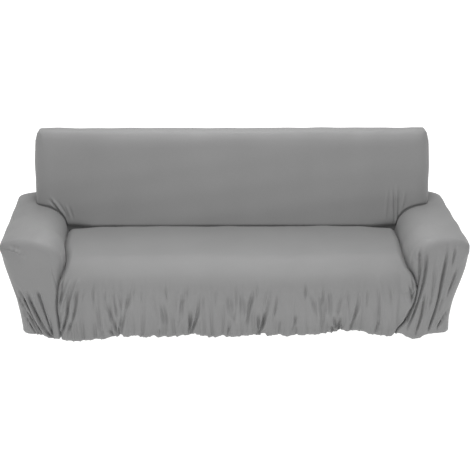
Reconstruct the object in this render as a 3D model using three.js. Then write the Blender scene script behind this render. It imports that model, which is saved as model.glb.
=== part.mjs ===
// Stretch slipcover for a three-seat sofa with rounded arms, as it sits pulled over the sofa.
//
// Millimetres, +Z up. +X runs along the sofa, +Y from its front to its back, and the front of the
// apron hangs near Y = 0. Each cut piece of cloth is one closed sheet of even thickness: its outer
// surface is a run of rows of points, its inner surface follows it one cloth thickness below, and
// a narrow rim joins the two. Pieces stop a seam's width apart.

import * as THREE from 'three';

// ---------------------------------------------------------------- driving sizes
const CLOTH = 2; // thickness of the jersey
const SEAM = 1.6; // gap between two pieces along a seam

const SEAT = {
  crease: 548, // where the deck meets the backrest
  deckFront: 405, // height of the deck behind the front roll
  deckBack: 409, // height of the deck at the crease
  rollBack: 118, // the deck turns down into the front roll here
  rollFoot: 305, // height at which the roll has become the upright apron
  front: -12, // the apron's frontmost line
  hemBack: 10, // how far the hem is drawn back under the sofa
  creaseRound: 60, // width over which the deck rounds down into the back crease
  creaseDrop: 16,
  sideRound: 46, // the same along the arms
  sideDrop: 22,
  seamDrop: 16, // depth of the valley along the apron's side seams
  foldTop: 345, // the apron's folds start below this run
};

const ARM = {
  top: 522, // height of the arch
  innerWidth: 140, // width of the arch's inner quarter
  innerFoot: 410, // height at which the inner quarter starts
  outerFoot: 470, // height at which the outer quarter ends
  frontRoll: 30, // radius between the arm's front and its top and side
  rearRoll: 34,
  front: -9,
  frontHem: 12,
  rear: 893,
  rearTaper: 0.5, // share of the front's taper that the outer wall keeps at the back
  innerTuck: 22, // how far the inner wall runs down past the seat's edge
  lowestRun: 430, // the arch follows the seam with the seat from this run of its section on
};

const BACK = {
  recline: 0.3, // backward run for each millimetre of height
  faceTop: 800, // the front face turns into the top roll here
  top: 873,
  topFront: 740, // the top's flat part, from front to back
  topRear: 800,
  seamRear: 838, // the rear seam's place behind the top roll
  seamHeight: 838,
  cornerRound: 75, // plan radius between the front face and the end wall
  edgeRound: 18, // radius along the end wall's top and rear edges
  tuck: 55, // how far the front face runs down into the seat crease
  underArm: 9, // how far its lower edge runs behind the arm's arch
  levelRow: 600, // the lowest row that is level all the way across
};

// ---------------------------------------------------------------- tables
/** Rows of numbers under named columns. */
function table(columns, rows) {
  return rows.map((row) => Object.fromEntries(columns.map((name, i) => [name, row[i]])));
}

// Side seams of the seat piece. run is the distance up the seat's section from the floor: the
// height itself on the apron, then on over the roll and back along the deck.
const SIDE_SEAMS = table(['run', 'left', 'right'], [
  [40, -818, 768],
  [78, -820, 785],
  [129, -823, 812],
  [165, -825, 828],
  [205, -824, 846],
  [285, -820, 866],
  [325, -815, 860],
  [362, -804, 849],
  [392, -799, 832],
  [430, -797, 826],
  [486, -803, 824],
  [618, -817, 827],
  [768, -831, 830],
  [916, -836, 829],
]);

// Height of the hem along the front, drawn up where the elastic gathers it.
const FRONT_HEM = table(['x', 'z'], [
  [-1010, 62],
  [-985, 58],
  [-915, 48],
  [-868, 32],
  [-821, 27],
  [-765, 17],
  [-670, 25],
  [-584, 37],
  [-536, 53],
  [-490, 40],
  [-370, 37],
  [-228, 46],
  [-190, 58],
  [-150, 40],
  [-52, 36],
  [80, 45],
  [128, 50],
  [223, 49],
  [294, 42],
  [413, 50],
  [460, 58],
  [505, 77],
  [564, 64],
  [650, 54],
  [708, 41],
  [778, 55],
  [817, 42],
  [851, 27],
  [912, 48],
  [959, 58],
  [1030, 64],
]);

// Height of the hem along each side, from the front to the back.
const SIDE_HEM = table(['y', 'z'], [
  [0, 62],
  [70, 52],
  [210, 36],
  [330, 54],
  [470, 38],
  [600, 32],
  [700, 50],
  [893, 40],
]);

// Height of the hem along the back.
const REAR_HEM = table(['x', 'z'], [
  [-1120, 40],
  [-820, 32],
  [-560, 52],
  [-300, 34],
  [-20, 44],
  [240, 30],
  [520, 50],
  [800, 34],
  [1120, 40],
]);

// How far the arm's outer wall stands inside its widest line, and the backrest's half-width.
const ARM_TAPER = table(['z', 'inset'], [
  [20, 89],
  [40, 87],
  [86, 84],
  [168, 70],
  [250, 57],
  [330, 32],
  [410, 10],
  [470, 0],
]);
const BACK_HALF = table(['z', 'x'], [
  [400, 1006],
  [522, 1006],
  [600, 1010],
  [700, 1011],
  [780, 1009],
  [830, 1003],
  [873, 994],
]);
const REAR_FACE = table(['z', 'y'], [
  [20, 886],
  [200, 893],
  [480, 893],
  [560, 884],
  [680, 864],
  [838, 838],
]);

const FOLD = {
  growth: 0.45, // share of its length over which a fold deepens from its top
  end: 1.2, // a fold has died out this far along its length
  fade: 0.4, // share of its length over which it dies out
  throughHem: 90, // a fold whose foot is lower than this runs out through the hem
  lip: 0.3, // height of the soft lip on each side, as a share of the rise
  lipPlace: 1.9, // place of the lips, in widths
};

// Folds of the front: each runs from its top to its foot with a sideways bow, is twice width
// across and stands out by rise, or sinks in where rise is negative.
const FOLD_COLUMNS = ['top', 'topX', 'foot', 'footX', 'bow', 'width', 'rise'];
const APRON_FOLDS = table(FOLD_COLUMNS, [
  [345, -802, 213, -807, 6, 12, -9],
  [325, -765, 185, -812, 2, 13, 9],
  [285, -762, 60, -815, 8, 13, -14],
  [320, -735, 200, -762, 2, 13, 9],
  [338, -723, 48, -788, 10, 15, -12],
  [240, -640, 55, -614, -4, 15, -9],
  [245, -583, 55, -553, -6, 14, -13],
  [290, -480, 70, -541, 4, 18, -9],
  [280, -385, 150, -388, 0, 16, -4],
  [275, -350, 95, -321, 6, 16, -9],
  [300, -305, 190, -303, 0, 13, -4],
  [245, -288, 70, -254, -4, 15, -8],
  [305, -223, 130, -258, -3, 14, -11],
  [170, -203, 70, -212, 0, 12, -8],
  [225, -158, 60, -200, -3, 14, -12],
  [250, -30, 130, 3, 5, 16, -9],
  [280, 32, 70, 72, 2, 17, -9],
  [290, 94, 145, 72, -3, 14, -10],
  [170, 113, 70, 117, 0, 12, -8],
  [245, 165, 55, 124, -4, 14, -12],
  [280, 253, 190, 256, 0, 14, -4],
  [305, 340, 160, 368, -7, 15, -9],
  [240, 412, 70, 422, 2, 15, -10],
  [290, 516, 160, 494, -3, 15, -12],
  [245, 592, 65, 562, 0, 16, -10],
  [230, 681, 60, 683, 0, 24, -7],
  [345, 838, 225, 800, -4, 13, 9],
  [300, 815, 190, 790, 0, 13, -8],
]);
const LEFT_ARM_FOLDS = table(FOLD_COLUMNS, [
  [360, -1031, 75, -920, 2, 11, -15],
  [260, -1018, 68, -940, 4, 10, -11],
  [185, -993, 70, -958, 0, 11, -8],
  [255, -966, 45, -884, 8, 12, -14],
  [280, -914, 55, -862, -6, 10, -15],
  [120, -858, 28, -852, 0, 9, -12],
  [474, -1034, 440, -972, 4, 9, 6],
]);
const RIGHT_ARM_FOLDS = table(FOLD_COLUMNS, [
  [440, 850, 392, 853, 0, 9, -7],
  [485, 868, 270, 871, 4, 12, -13],
  [450, 901, 85, 832, 22, 13, -13],
  [355, 945, 200, 926, 2, 12, -6],
  [240, 899, 48, 857, 9, 12, -14],
  [470, 998, 72, 927, 11, 12, -13],
  [488, 1034, 410, 1023, 0, 10, -8],
  [370, 1045, 255, 1016, 0, 13, -7],
  [170, 1009, 80, 969, 0, 11, -10],
]);

// side is -1 on the left. The arm's widest line runs from frontX to rearX.
const ARMS = {
  left: { side: -1, frontX: 1083, rearX: 1126, folds: LEFT_ARM_FOLDS },
  right: { side: 1, frontX: 1104, rearX: 1101, folds: RIGHT_ARM_FOLDS },
};
const OUTER_WIDTH = { front: 118, rear: 148 }; // width of the arch's outer quarter

// ---------------------------------------------------------------- curves
const mix = (a, b, part) => a + (b - a) * part;
const clamp = (value, low, high) => Math.min(high, Math.max(low, value));
const ease = (value) => {
  const t = clamp(value, 0, 1);
  return t * t * (3 - 2 * t);
};
/** 0 at the start of a rounded edge, 1 where the quarter circle has turned right down. */
const quarter = (part) => 1 - Math.sqrt(1 - clamp(part, 0, 1) ** 2);
const radians = (degrees) => (degrees * Math.PI) / 180;
const range = (count) => Array.from({ length: count }, (_, i) => i);
/** Evenly spaced values from a to b, both included. */
const steps = (a, b, count) => range(count + 1).map((i) => mix(a, b, i / count));

/** A smooth curve without overshoot through a table's rows, as a function of one column. */
function curve(rows, from, to) {
  const at = rows.map((row) => row[from]);
  const value = rows.map((row) => row[to]);
  const rise = range(at.length - 1).map((i) => (value[i + 1] - value[i]) / (at[i + 1] - at[i]));
  const slope = at.map((_, i) => {
    const [before, after] = [rise[Math.max(i - 1, 0)], rise[Math.min(i, rise.length - 1)]];
    return before * after <= 0 ? 0 : (2 * before * after) / (before + after);
  });
  return (place) => {
    const p = clamp(place, at[0], at[at.length - 1]);
    const next = at.findIndex((end, index) => index > 0 && p <= end);
    const i = next - 1;
    const span = at[next] - at[i];
    const t = (p - at[i]) / span;
    const bend = (slope[i] * (1 - t) - slope[next] * t) * span * t * (1 - t);
    return mix(value[i], value[next], ease(t)) + bend;
  };
}

const leftSeam = curve(SIDE_SEAMS, 'run', 'left');
const rightSeam = curve(SIDE_SEAMS, 'run', 'right');
const frontHem = curve(FRONT_HEM, 'x', 'z');
const sideHem = curve(SIDE_HEM, 'y', 'z');
const rearHem = curve(REAR_HEM, 'x', 'z');
const armTaper = curve(ARM_TAPER, 'z', 'inset');
const backHalf = curve(BACK_HALF, 'z', 'x');
const rearFace = curve(REAR_FACE, 'z', 'y');

/** Sideways place of a fold at a height. */
function foldPlace(fold, z) {
  const t = clamp((fold.top - z) / (fold.top - fold.foot), 0, 1);
  return mix(fold.topX, fold.footX, t) + fold.bow * 4 * t * (1 - t);
}

/** How far the folds push a point of the front outwards. */
function foldRise(folds, x, z) {
  const bell = (across) => Math.exp(-(across ** 2));
  return folds.reduce((sum, fold) => {
    const down = (fold.top - z) / (fold.top - fold.foot);
    const end = fold.foot > FOLD.throughHem ? ease((FOLD.end - down) / FOLD.fade) : 1;
    const strength = ease(down / FOLD.growth) * end;
    const across = (x - foldPlace(fold, z)) / fold.width;
    const lips = FOLD.lip * (bell(across - FOLD.lipPlace) + bell(across + FOLD.lipPlace));
    return sum + fold.rise * strength * (bell(across) - lips);
  }, 0);
}

// ---------------------------------------------------------------- a sheet of cloth
class Sheet {
  /** flip is true for a piece whose rows run the mirrored way round. */
  constructor(flip = false) {
    this.flip = flip;
    this.points = [];
    this.faces = [];
    this.places = new Map();
  }

  vertex(point) {
    const key = point.toArray().map((v) => Math.round(v * 50)).join();
    if (!this.places.has(key)) {
      this.places.set(key, this.points.length);
      this.points.push(point);
    }
    return this.places.get(key);
  }

  face(a, b, c) {
    if (a === b || b === c || c === a) return;
    this.faces.push(this.flip ? [a, c, b] : [a, b, c]);
  }

  /** Joins two rows. Seen from outside both run to the right, and upper lies above lower. */
  strip(lower, upper) {
    const low = lower.map((point) => this.vertex(point));
    const high = upper.map((point) => this.vertex(point));
    let [i, j] = [0, 0];
    while (i < low.length - 1 || j < high.length - 1) {
      const acrossLow = i < low.length - 1 ? lower[i + 1].distanceTo(upper[j]) : Infinity;
      const acrossHigh = j < high.length - 1 ? upper[j + 1].distanceTo(lower[i]) : Infinity;
      if (acrossLow <= acrossHigh) {
        this.face(low[i], low[i + 1], high[j]);
        i += 1;
      } else {
        this.face(low[i], high[j + 1], high[j]);
        j += 1;
      }
    }
  }

  rows(list) {
    list.slice(1).forEach((row, i) => this.strip(list[i], row));
  }

  /** Normals of the outer surface at its points. */
  normals() {
    const sums = this.points.map(() => new THREE.Vector3());
    const [ab, ac] = [new THREE.Vector3(), new THREE.Vector3()];
    for (const [a, b, c] of this.faces) {
      ab.subVectors(this.points[b], this.points[a]);
      ac.subVectors(this.points[c], this.points[a]);
      const area = ab.cross(ac);
      for (const corner of [a, b, c]) sums[corner].add(area);
    }
    return sums.map((sum) => sum.normalize());
  }

  /** The closed solid of the sheet: outer surface, inner surface and rim. */
  solid() {
    const normals = this.normals();
    const inner = this.points.map((point, i) => point.clone().addScaledVector(normals[i], -CLOTH));
    const count = this.points.length;
    const edges = new Set(this.faces.flatMap(([a, b, c]) => [`${a},${b}`, `${b},${c}`, `${c},${a}`]));
    const index = [];
    for (const [a, b, c] of this.faces) {
      index.push(a, b, c, a + count, c + count, b + count);
      for (const [p, q] of [[a, b], [b, c], [c, a]]) {
        if (!edges.has(`${q},${p}`)) index.push(q, p, p + count, q, p + count, q + count);
      }
    }
    const geometry = new THREE.BufferGeometry().setFromPoints([...this.points, ...inner]);
    geometry.setIndex(index);
    geometry.computeVertexNormals();
    return geometry;
  }
}

// ---------------------------------------------------------------- the seat and its apron
const ROLL_DEPTH = SEAT.rollBack - SEAT.front;
const ROLL_HEIGHT = SEAT.deckFront - SEAT.rollFoot;
const ROLL_RUN = (Math.PI / 2) * Math.sqrt((ROLL_DEPTH ** 2 + ROLL_HEIGHT ** 2) / 2);

/** The seat's section at a run: its place, and the direction in which it faces. */
function seatSection(run, hem = 0) {
  if (run <= SEAT.rollFoot) {
    const down = ease((SEAT.rollFoot - run) / (SEAT.rollFoot - hem));
    return { y: mix(SEAT.front, SEAT.hemBack, down), z: run, faceY: -1, faceZ: 0 };
  }
  const turn = (run - SEAT.rollFoot) / ROLL_RUN;
  if (turn < 1) {
    const angle = (turn * Math.PI) / 2;
    const [c, s] = [Math.cos(angle), Math.sin(angle)];
    return { y: SEAT.rollBack - ROLL_DEPTH * c, z: SEAT.rollFoot + ROLL_HEIGHT * s, faceY: -c, faceZ: s };
  }
  const y = SEAT.rollBack + run - SEAT.rollFoot - ROLL_RUN;
  const back = (y - SEAT.rollBack) / (SEAT.crease - SEAT.rollBack);
  const drop = SEAT.creaseDrop * quarter(1 - (SEAT.crease - y) / SEAT.creaseRound);
  return { y, z: mix(SEAT.deckFront, SEAT.deckBack, back) - drop, faceY: 0, faceZ: 1 };
}

/** Run of the seat's section above a depth, from the apron's front to the crease. */
function runAtDepth(y) {
  if (y >= SEAT.rollBack) return SEAT.rollFoot + ROLL_RUN + y - SEAT.rollBack;
  const c = clamp((SEAT.rollBack - y) / ROLL_DEPTH, 0, 1);
  return SEAT.rollFoot + ROLL_RUN * (Math.acos(c) / (Math.PI / 2));
}

/** How deep the seat's side edge lies below its surface. */
function edgeDrop(run) {
  return mix(SEAT.seamDrop, SEAT.sideDrop, ease((run - SEAT.rollFoot) / ROLL_RUN));
}

/** How far the seat sinks towards its side seams. */
function sideDrop(x, run) {
  const drop = edgeDrop(run);
  const round = mix(SEAT.sideRound / 2, SEAT.sideRound, ease((run - SEAT.rollFoot) / ROLL_RUN));
  const inside = Math.min(x - leftSeam(run), rightSeam(run) - x);
  return drop * quarter(1 - inside / round);
}

function seatPoint(x, run) {
  const section = seatSection(run, frontHem(x));
  const folds = run < SEAT.foldTop ? foldRise(APRON_FOLDS, x, run) : 0;
  const out = folds - sideDrop(x, run);
  return new THREE.Vector3(x, section.y + section.faceY * out, section.z + section.faceZ * out);
}

/** A point of an apron's side seam, a part of the way up from the hem to the roll. */
function seamPlace(seam, part) {
  const hem = frontHem(seam(mix(SIDE_SEAMS[0].run, SEAT.rollFoot, part)));
  const z = mix(hem, SEAT.rollFoot, part);
  return { x: seam(z), z };
}

/** Sorted places across a row, dropping those that crowd a neighbour and filling wide gaps. */
function spread(from, to, wanted, { closest, widest }) {
  const kept = [from];
  for (const x of [...wanted].sort((a, b) => a - b)) {
    if (x - kept[kept.length - 1] >= closest && to - x >= closest) kept.push(x);
  }
  kept.push(to);
  return kept.flatMap((x, i) => {
    if (i === kept.length - 1) return [x];
    const count = Math.ceil((kept[i + 1] - x) / widest);
    return steps(x, kept[i + 1], count).slice(0, -1);
  });
}

const FLANK = 1.7; // place of a fold's flanks, in widths

/** Places of a front row: each fold's bottom and both its flanks. */
function foldPlaces(folds, z) {
  return folds.flatMap((fold) => {
    const middle = foldPlace(fold, z);
    return [middle - FLANK * fold.width, middle, middle + FLANK * fold.width];
  });
}

const FRONT_TURN = [90, 60, 30]; // degrees round the arm's front roll, from its face outwards
const ARM_STATIONS = [0, 0.06, 0.14, 0.36, 0.58, 0.8, 0.93, 1]; // from behind it to the backrest
const APRON_ROWS = [0, 0.08, 0.25, 0.42, 0.6, 0.8]; // from the hem up to the roll
const SEAT_EDGES = [0.2, 0.5, 1]; // columns of the deck beside its seams, in side rounds
const APRON_SPACING = { closest: 11, widest: 40 };
const DECK_SPACING = { closest: 8, widest: 190 };
const FACE_SPACING = { closest: 10, widest: 45 };

/** Depths at which both the seat piece and an arm have points along their seam. */
function seamDepths() {
  const [near, far] = [ARM.front + ARM.frontRoll, SEAT.crease - SEAM];
  const turns = FRONT_TURN.slice(1).map((angle) => mix(near, ARM.front, Math.sin(radians(angle))));
  return [...turns, ...ARM_STATIONS.map((part) => mix(near, far, part))];
}

function seatFront() {
  const sheet = new Sheet();
  const apron = APRON_ROWS.map((part) => {
    const [left, right] = [leftSeam, rightSeam].map((seam) => seamPlace(seam, part));
    const level = (left.z + right.z) / 2;
    const places = foldPlaces(APRON_FOLDS, level);
    const columns = spread(left.x + SEAM / 2, right.x - SEAM / 2, places, APRON_SPACING);
    return columns.map((x) => seatPoint(x, mix(frontHem(x), SEAT.rollFoot, part)));
  });
  const above = [SEAT.rollFoot, ...seamDepths().map(runAtDepth)].map((run) => {
    const [left, right] = [leftSeam(run) + SEAM / 2, rightSeam(run) - SEAM / 2];
    const insets = SEAT_EDGES.map((part) => part * SEAT.sideRound);
    const edges = insets.flatMap((inset) => [left + inset, right - inset]);
    return spread(left, right, edges, DECK_SPACING).map((x) => seatPoint(x, run));
  });
  sheet.rows([...apron, ...above]);
  return sheet.solid();
}

// ---------------------------------------------------------------- the backrest's form
/** Depth of the backrest's front face, which curves back towards both ends. */
function backFace(x, z) {
  const past = (Math.abs(x) - (backHalf(z) - BACK.cornerRound)) / BACK.cornerRound;
  const lean = BACK.recline * Math.max(0, z - SEAT.deckBack);
  return SEAT.crease + lean + BACK.cornerRound * quarter(past);
}

// ---------------------------------------------------------------- the arms
/** The arm's sizes at a depth, as distances from the sofa's middle. */
function armSection(arm, y) {
  const back = clamp(y / ARM.rear, 0, 1);
  const run = Math.max(runAtDepth(clamp(y, SEAT.front, SEAT.crease)), ARM.lowestRun);
  return {
    inner: seamReach(arm, run),
    outer: mix(arm.frontX, arm.rearX, back),
    outerWidth: mix(OUTER_WIDTH.front, OUTER_WIDTH.rear, back),
  };
}

/** Distance of the arm's seam with the seat piece from the sofa's middle. */
function seamReach(arm, run) {
  return arm.side * (arm.side < 0 ? leftSeam(run) : rightSeam(run));
}

/** Height of the arm's arch at a distance from the sofa's middle. */
function archHeight(arm, reach, y) {
  const { inner, outer, outerWidth } = armSection(arm, y);
  const fromInner = (inner + ARM.innerWidth - reach) / ARM.innerWidth;
  const fromOuter = (reach - (outer - outerWidth)) / outerWidth;
  if (fromInner > 0) return ARM.top - (ARM.top - ARM.innerFoot) * quarter(fromInner);
  return ARM.top - (ARM.top - ARM.outerFoot) * quarter(fromOuter);
}

/** Depth of the arm's front face, drawn back a little at the hem. */
function armFront(z) {
  return mix(ARM.front, ARM.frontHem, ease((SEAT.rollFoot - z) / SEAT.rollFoot));
}

const OUTER_WALL = [0, 0.06, 0.18, 0.31, 0.44, 0.58, 0.72, 0.86]; // from the hem to the arch
const OUTER_ARCH = [0, 0.25, 0.5, 0.75]; // from the arch's outer foot to the line beside the backrest
const CORNER_TURN = [0, 30, 60, 90]; // degrees round the backrest's corner, from its face to its end
const INNER_QUARTER = [0.8, 0.6, 0.42, 0.25, 0.1, 0]; // down the inner quarter, below the corner
const INNER_WALL = [0.5, 1]; // from the quarter's foot to the tuck's edge
const SEAM_REACH = BACK_HALF[0].x + SEAM; // the arm's top ends here beside the backrest
const CORNER_START = BACK_HALF[0].x - BACK.cornerRound; // the backrest's face curves back past here
const BESIDE = OUTER_WALL.length + OUTER_ARCH.length; // index of the point beside the backrest

/** Points of the outer wall and of the arch's outer quarter, up to the line beside the backrest. */
function outerLine(arm, depth) {
  const hem = sideHem(depth(ARM.outerFoot));
  const wall = OUTER_WALL.map((up) => {
    const z = mix(hem, ARM.outerFoot, up);
    const y = depth(z);
    const taper = armTaper(z) * mix(1, ARM.rearTaper, clamp(y / ARM.rear, 0, 1));
    return { reach: armSection(arm, y).outer - taper, y, z, facing: [1, 0] };
  });
  const y = depth(ARM.top);
  const { outer, outerWidth } = armSection(arm, y);
  const last = Math.acos(1 - (outer - SEAM_REACH) / outerWidth);
  const arch = [...OUTER_ARCH, 1].map((up) => {
    const [c, s] = [Math.cos(last * up), Math.sin(last * up)];
    const z = ARM.outerFoot + (ARM.top - ARM.outerFoot) * s;
    return { reach: outer - outerWidth * (1 - c), y, z, facing: up < 1 ? [c, s] : [0, 1] };
  });
  return [...wall, ...arch];
}

/** Points of the inner wall below the arch, down to its tuck behind the seat's edge. */
function innerWall(arm, foot, run) {
  const section = seatSection(run);
  const drop = edgeDrop(run);
  const tuck = ARM.innerTuck * ease((run - SEAT.rollFoot) / ROLL_RUN);
  const low = {
    reach: seamReach(arm, run) + SEAM / 2,
    y: section.y - section.faceY * drop,
    z: section.z - section.faceZ * drop - tuck,
  };
  return INNER_WALL.map((down) => ({
    reach: mix(foot.reach, low.reach, 1 - (1 - down) ** 3),
    y: mix(foot.y, low.y, down),
    z: mix(foot.z, low.z, down),
    facing: [-1, 0],
  }));
}

/** Where the arm's top meets the backrest: depths along the seam at the corner and the face. */
function seamDepth(turn, z) {
  const round = turn === undefined ? 1 : Math.cos(radians(turn));
  const centre = backFace(0, z) + BACK.cornerRound;
  return centre - (BACK.cornerRound + SEAM) * round;
}

/**
 * The arm's section from the outer hem over the arch to the inner tuck. part runs from 0, behind
 * the front roll, to 1, where the arch meets the backrest.
 */
function armLine(arm, part) {
  const depth = (z, turn) => mix(armFront(z) + ARM.frontRoll, seamDepth(turn, z), part);
  const line = outerLine(arm, (z) => mix(armFront(z) + ARM.frontRoll, seamDepth(90, ARM.top), part));
  for (const turn of CORNER_TURN.slice(0, -1).reverse()) {
    const reach = CORNER_START + (BACK.cornerRound + SEAM) * Math.sin(radians(turn));
    const z = archHeight(arm, reach, depth(ARM.top, turn));
    line.push({ reach, y: depth(z, turn), z, facing: [0, 1] });
  }
  for (const down of INNER_QUARTER) {
    const { inner } = armSection(arm, depth(ARM.innerFoot));
    const start = Math.acos(1 - (CORNER_START - inner) / ARM.innerWidth);
    const [c, s] = [Math.cos(start * down), Math.sin(start * down)];
    const z = ARM.innerFoot + (ARM.top - ARM.innerFoot) * s;
    const reach = inner + SEAM / 2 + (ARM.innerWidth - SEAM / 2) * (1 - c);
    line.push({ reach, y: depth(z), z, facing: [-c, s] });
  }
  const foot = line[line.length - 1];
  return [...line, ...innerWall(arm, foot, runAtDepth(foot.y))];
}

const REAR_TURN = [30, 60, 90];
const REAR_STATIONS = [720, 800, ARM.rear - ARM.rearRoll];

/** A section turned inwards round the front or rear roll. */
function turned(line, angle, radius, depth) {
  const [c, s] = [Math.cos(radians(angle)), Math.sin(radians(angle))];
  return line.map((place) => {
    const [inReach, inZ] = place.facing.map((n) => n * radius * (1 - c));
    const [reach, z] = [place.reach - inReach, place.z - inZ];
    return { ...place, reach, z, y: depth(place, z, s) };
  });
}

/** Sections round the front roll, from the front face outwards. */
function frontTurns(arm) {
  const full = armLine(arm, 0);
  const above = full.slice(0, full.length - INNER_WALL.length);
  return FRONT_TURN.map((angle) => {
    const line = turned(above, angle, ARM.frontRoll, (place, z, s) => {
      const fold = foldRise(arm.folds, arm.side * place.reach, z) * s ** 4;
      return mix(place.y, armFront(z), s) - fold;
    });
    const foot = line[line.length - 1];
    return [...line, ...innerWall(arm, foot, angle < 90 ? runAtDepth(foot.y) : SEAT.rollFoot)];
  });
}

/** Height of a section's arch at a distance from the middle, read between its points. */
function heightBetween(line, reach) {
  const next = line.findIndex((place, i) => i > 0 && place.reach <= reach);
  if (next < 1) return line[reach > line[0].reach ? 0 : line.length - 1].z;
  const [a, b] = [line[next - 1], line[next]];
  return mix(a.z, b.z, clamp((a.reach - reach) / (a.reach - b.reach), 0, 1));
}

const VALLEY = { width: 23, above: 40, fade: 60 }; // beside the apron's side seam, and its upper end

/** The front face, row by row from the hem to the arch. Rows run inwards. */
function armFace(arm, edge) {
  const outer = edge.slice(0, OUTER_WALL.length);
  const wall = edge.slice(edge.length - INNER_WALL.length).reverse();
  const arch = edge.slice(OUTER_WALL.length, edge.length - INNER_WALL.length);
  const low = wall[0];
  const seam = APRON_ROWS.map((up) => {
    const { x, z } = seamPlace(arm.side < 0 ? leftSeam : rightSeam, up);
    return { reach: arm.side * x + SEAM / 2, z, y: armFront(z) + SEAT.seamDrop };
  });
  const ends = [...seam, ...wall];
  const rows = outer.map((start, i) => {
    const end = ends[i];
    const up = i / outer.length;
    const blend = (reach) => mix(frontHem(arm.side * reach), heightBetween(arch, reach), up);
    const [missOuter, missInner] = [start.z - blend(start.reach), end.z - blend(end.reach)];
    const level = (start.z + end.z) / 2;
    const wanted = foldPlaces(arm.folds, level).map((x) => Math.abs(x));
    return spread(end.reach, start.reach, wanted, FACE_SPACING).reverse().map((reach) => {
      if (reach === start.reach) return start;
      if (reach === end.reach) return end;
      const across = (start.reach - reach) / (start.reach - end.reach);
      const z = blend(reach) + mix(missOuter, missInner, across);
      const depth = SEAT.seamDrop * ease((low.z + VALLEY.above - z) / VALLEY.fade);
      const valley = depth * quarter(1 - (reach - end.reach) / VALLEY.width);
      return { reach, z, y: armFront(z) + valley - foldRise(arm.folds, arm.side * reach, z) };
    });
  });
  return [...rows, arch];
}

/** The strip behind, beside the rear panel, row by row from the hem up. Rows run outwards. */
function armBehind(edge) {
  const [arch, corner] = [edge.slice(OUTER_WALL.length), edge[edge.length - 1]];
  const rows = edge.slice(0, OUTER_WALL.length).map((outer, i) => {
    const z = mix(rearHem(SEAM_REACH), corner.z, i / OUTER_WALL.length);
    return [0, 0.5, 1].map((across) => ({
      reach: mix(SEAM_REACH, outer.reach, across),
      y: outer.y,
      z: mix(z, outer.z, across),
    }));
  });
  return [...rows, [...arch].reverse()];
}

function armPiece(arm) {
  const sheet = new Sheet(arm.side > 0);
  const lay = (line) => line.map(({ reach, y, z }) => new THREE.Vector3(arm.side * reach, y, z));
  const turns = frontTurns(arm);
  const stations = ARM_STATIONS.map((part) => armLine(arm, part));
  sheet.rows([...turns, ...stations].map(lay));
  sheet.rows(armFace(arm, turns[0]).map(lay));
  const beside = stations[stations.length - 1].slice(0, BESIDE + 1);
  const behind = REAR_STATIONS.map((y) => outerLine(arm, () => y));
  const last = behind[behind.length - 1];
  const rearTurns = REAR_TURN.map((angle) =>
    turned(last, angle, ARM.rearRoll, (place, z, s) => place.y + ARM.rearRoll * s));
  const rearEdge = rearTurns[rearTurns.length - 1];
  rearEdge[rearEdge.length - 1].reach = SEAM_REACH;
  sheet.rows([beside, ...behind, ...rearTurns].map(lay));
  sheet.rows(armBehind(rearEdge).map(lay));
  return sheet.solid();
}

// ---------------------------------------------------------------- the backrest
const LOWER_ROWS = [0, 0.3, 0.65]; // from the lower edge to the lowest level row
const FACE_LEVELS = [BACK.levelRow, 680, 750]; // level rows of the front face
const MIDDLE_COLUMNS = [-0.75, -0.5, -0.25, 0, 0.25, 0.5, 0.75]; // parts of the seat's half-width
const ARCH_COLUMNS = [0, 0.25, 0.42, 0.6, 0.8]; // parts of the arch's inner quarter
const ARCH_SHIFT = { before: -10, inside: 1 }; // columns just before the arch and along it
const EAR = { x: 955, width: 45, rise: 5, fade: 50 }; // slight peak at each end of the top

/** Section of the backrest from its lowest level row over the top to the rear seam. */
function backSection() {
  const faceY = (z) => backFace(0, z);
  const bend = (from, by, to, parts) => parts.map((t) => {
    const [y, z] = ['y', 'z'].map((k) => mix(mix(from[k], by[k], t), mix(by[k], to[k], t), t));
    const [dy, dz] = ['y', 'z'].map((k) => mix(by[k] - from[k], to[k] - by[k], t));
    const length = Math.hypot(dy, dz);
    return { y, z, facing: [-dz / length, dy / length] };
  });
  const face = FACE_LEVELS.map((z) => ({ y: faceY(z), z, facing: [-1, 0], round: 1 }));
  const front = bend(
    { y: faceY(BACK.faceTop), z: BACK.faceTop },
    { y: faceY(BACK.top), z: BACK.top },
    { y: BACK.topFront, z: BACK.top },
    [0, 0.35, 0.65, 1],
  ).map((place, i) => ({ ...place, round: [0.9, 0.6, 0.3, 0][i] }));
  const rear = bend(
    { y: BACK.topRear, z: BACK.top },
    { y: BACK.seamRear, z: BACK.top },
    { y: BACK.seamRear, z: BACK.seamHeight },
    [0, 0.5, 1],
  ).map((place) => ({ ...place, round: 0 }));
  return [...face, ...front, ...rear];
}

const SECTION = backSection();
// The end wall's top front corner lies on the front roll, where the corner has become sharp.
const CORNER_INDEX = LOWER_ROWS.length + SECTION.findIndex((place) => place.round < 0.5);

/** Extra height of the top roll towards its two corners. */
function earRise(x, z) {
  const across = (Math.abs(x) - EAR.x) / EAR.width;
  return EAR.rise * Math.exp(-(across ** 2)) * ease((z - BACK.faceTop) / EAR.fade);
}

/** The lower edge of the inside back: the seat crease's tuck, or behind an arm's arch. */
function backFoot(x, y) {
  const arm = x < 0 ? ARMS.left : ARMS.right;
  const { inner } = armSection(arm, SEAT.crease);
  if (Math.abs(x) < inner) return SEAT.deckBack - BACK.tuck;
  return archHeight(arm, Math.abs(x), y) - BACK.underArm;
}

/** A line up the inside back at a place across its middle. */
function backColumn(x) {
  const foot = backFoot(x, SEAT.crease);
  const lower = LOWER_ROWS.map((up) => {
    const z = mix(foot, BACK.levelRow, up);
    return new THREE.Vector3(x, backFace(x, z), z);
  });
  const upper = SECTION.map(({ y, z }) => new THREE.Vector3(x, y, z + earRise(x, z)));
  return [...lower, ...upper];
}

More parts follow.
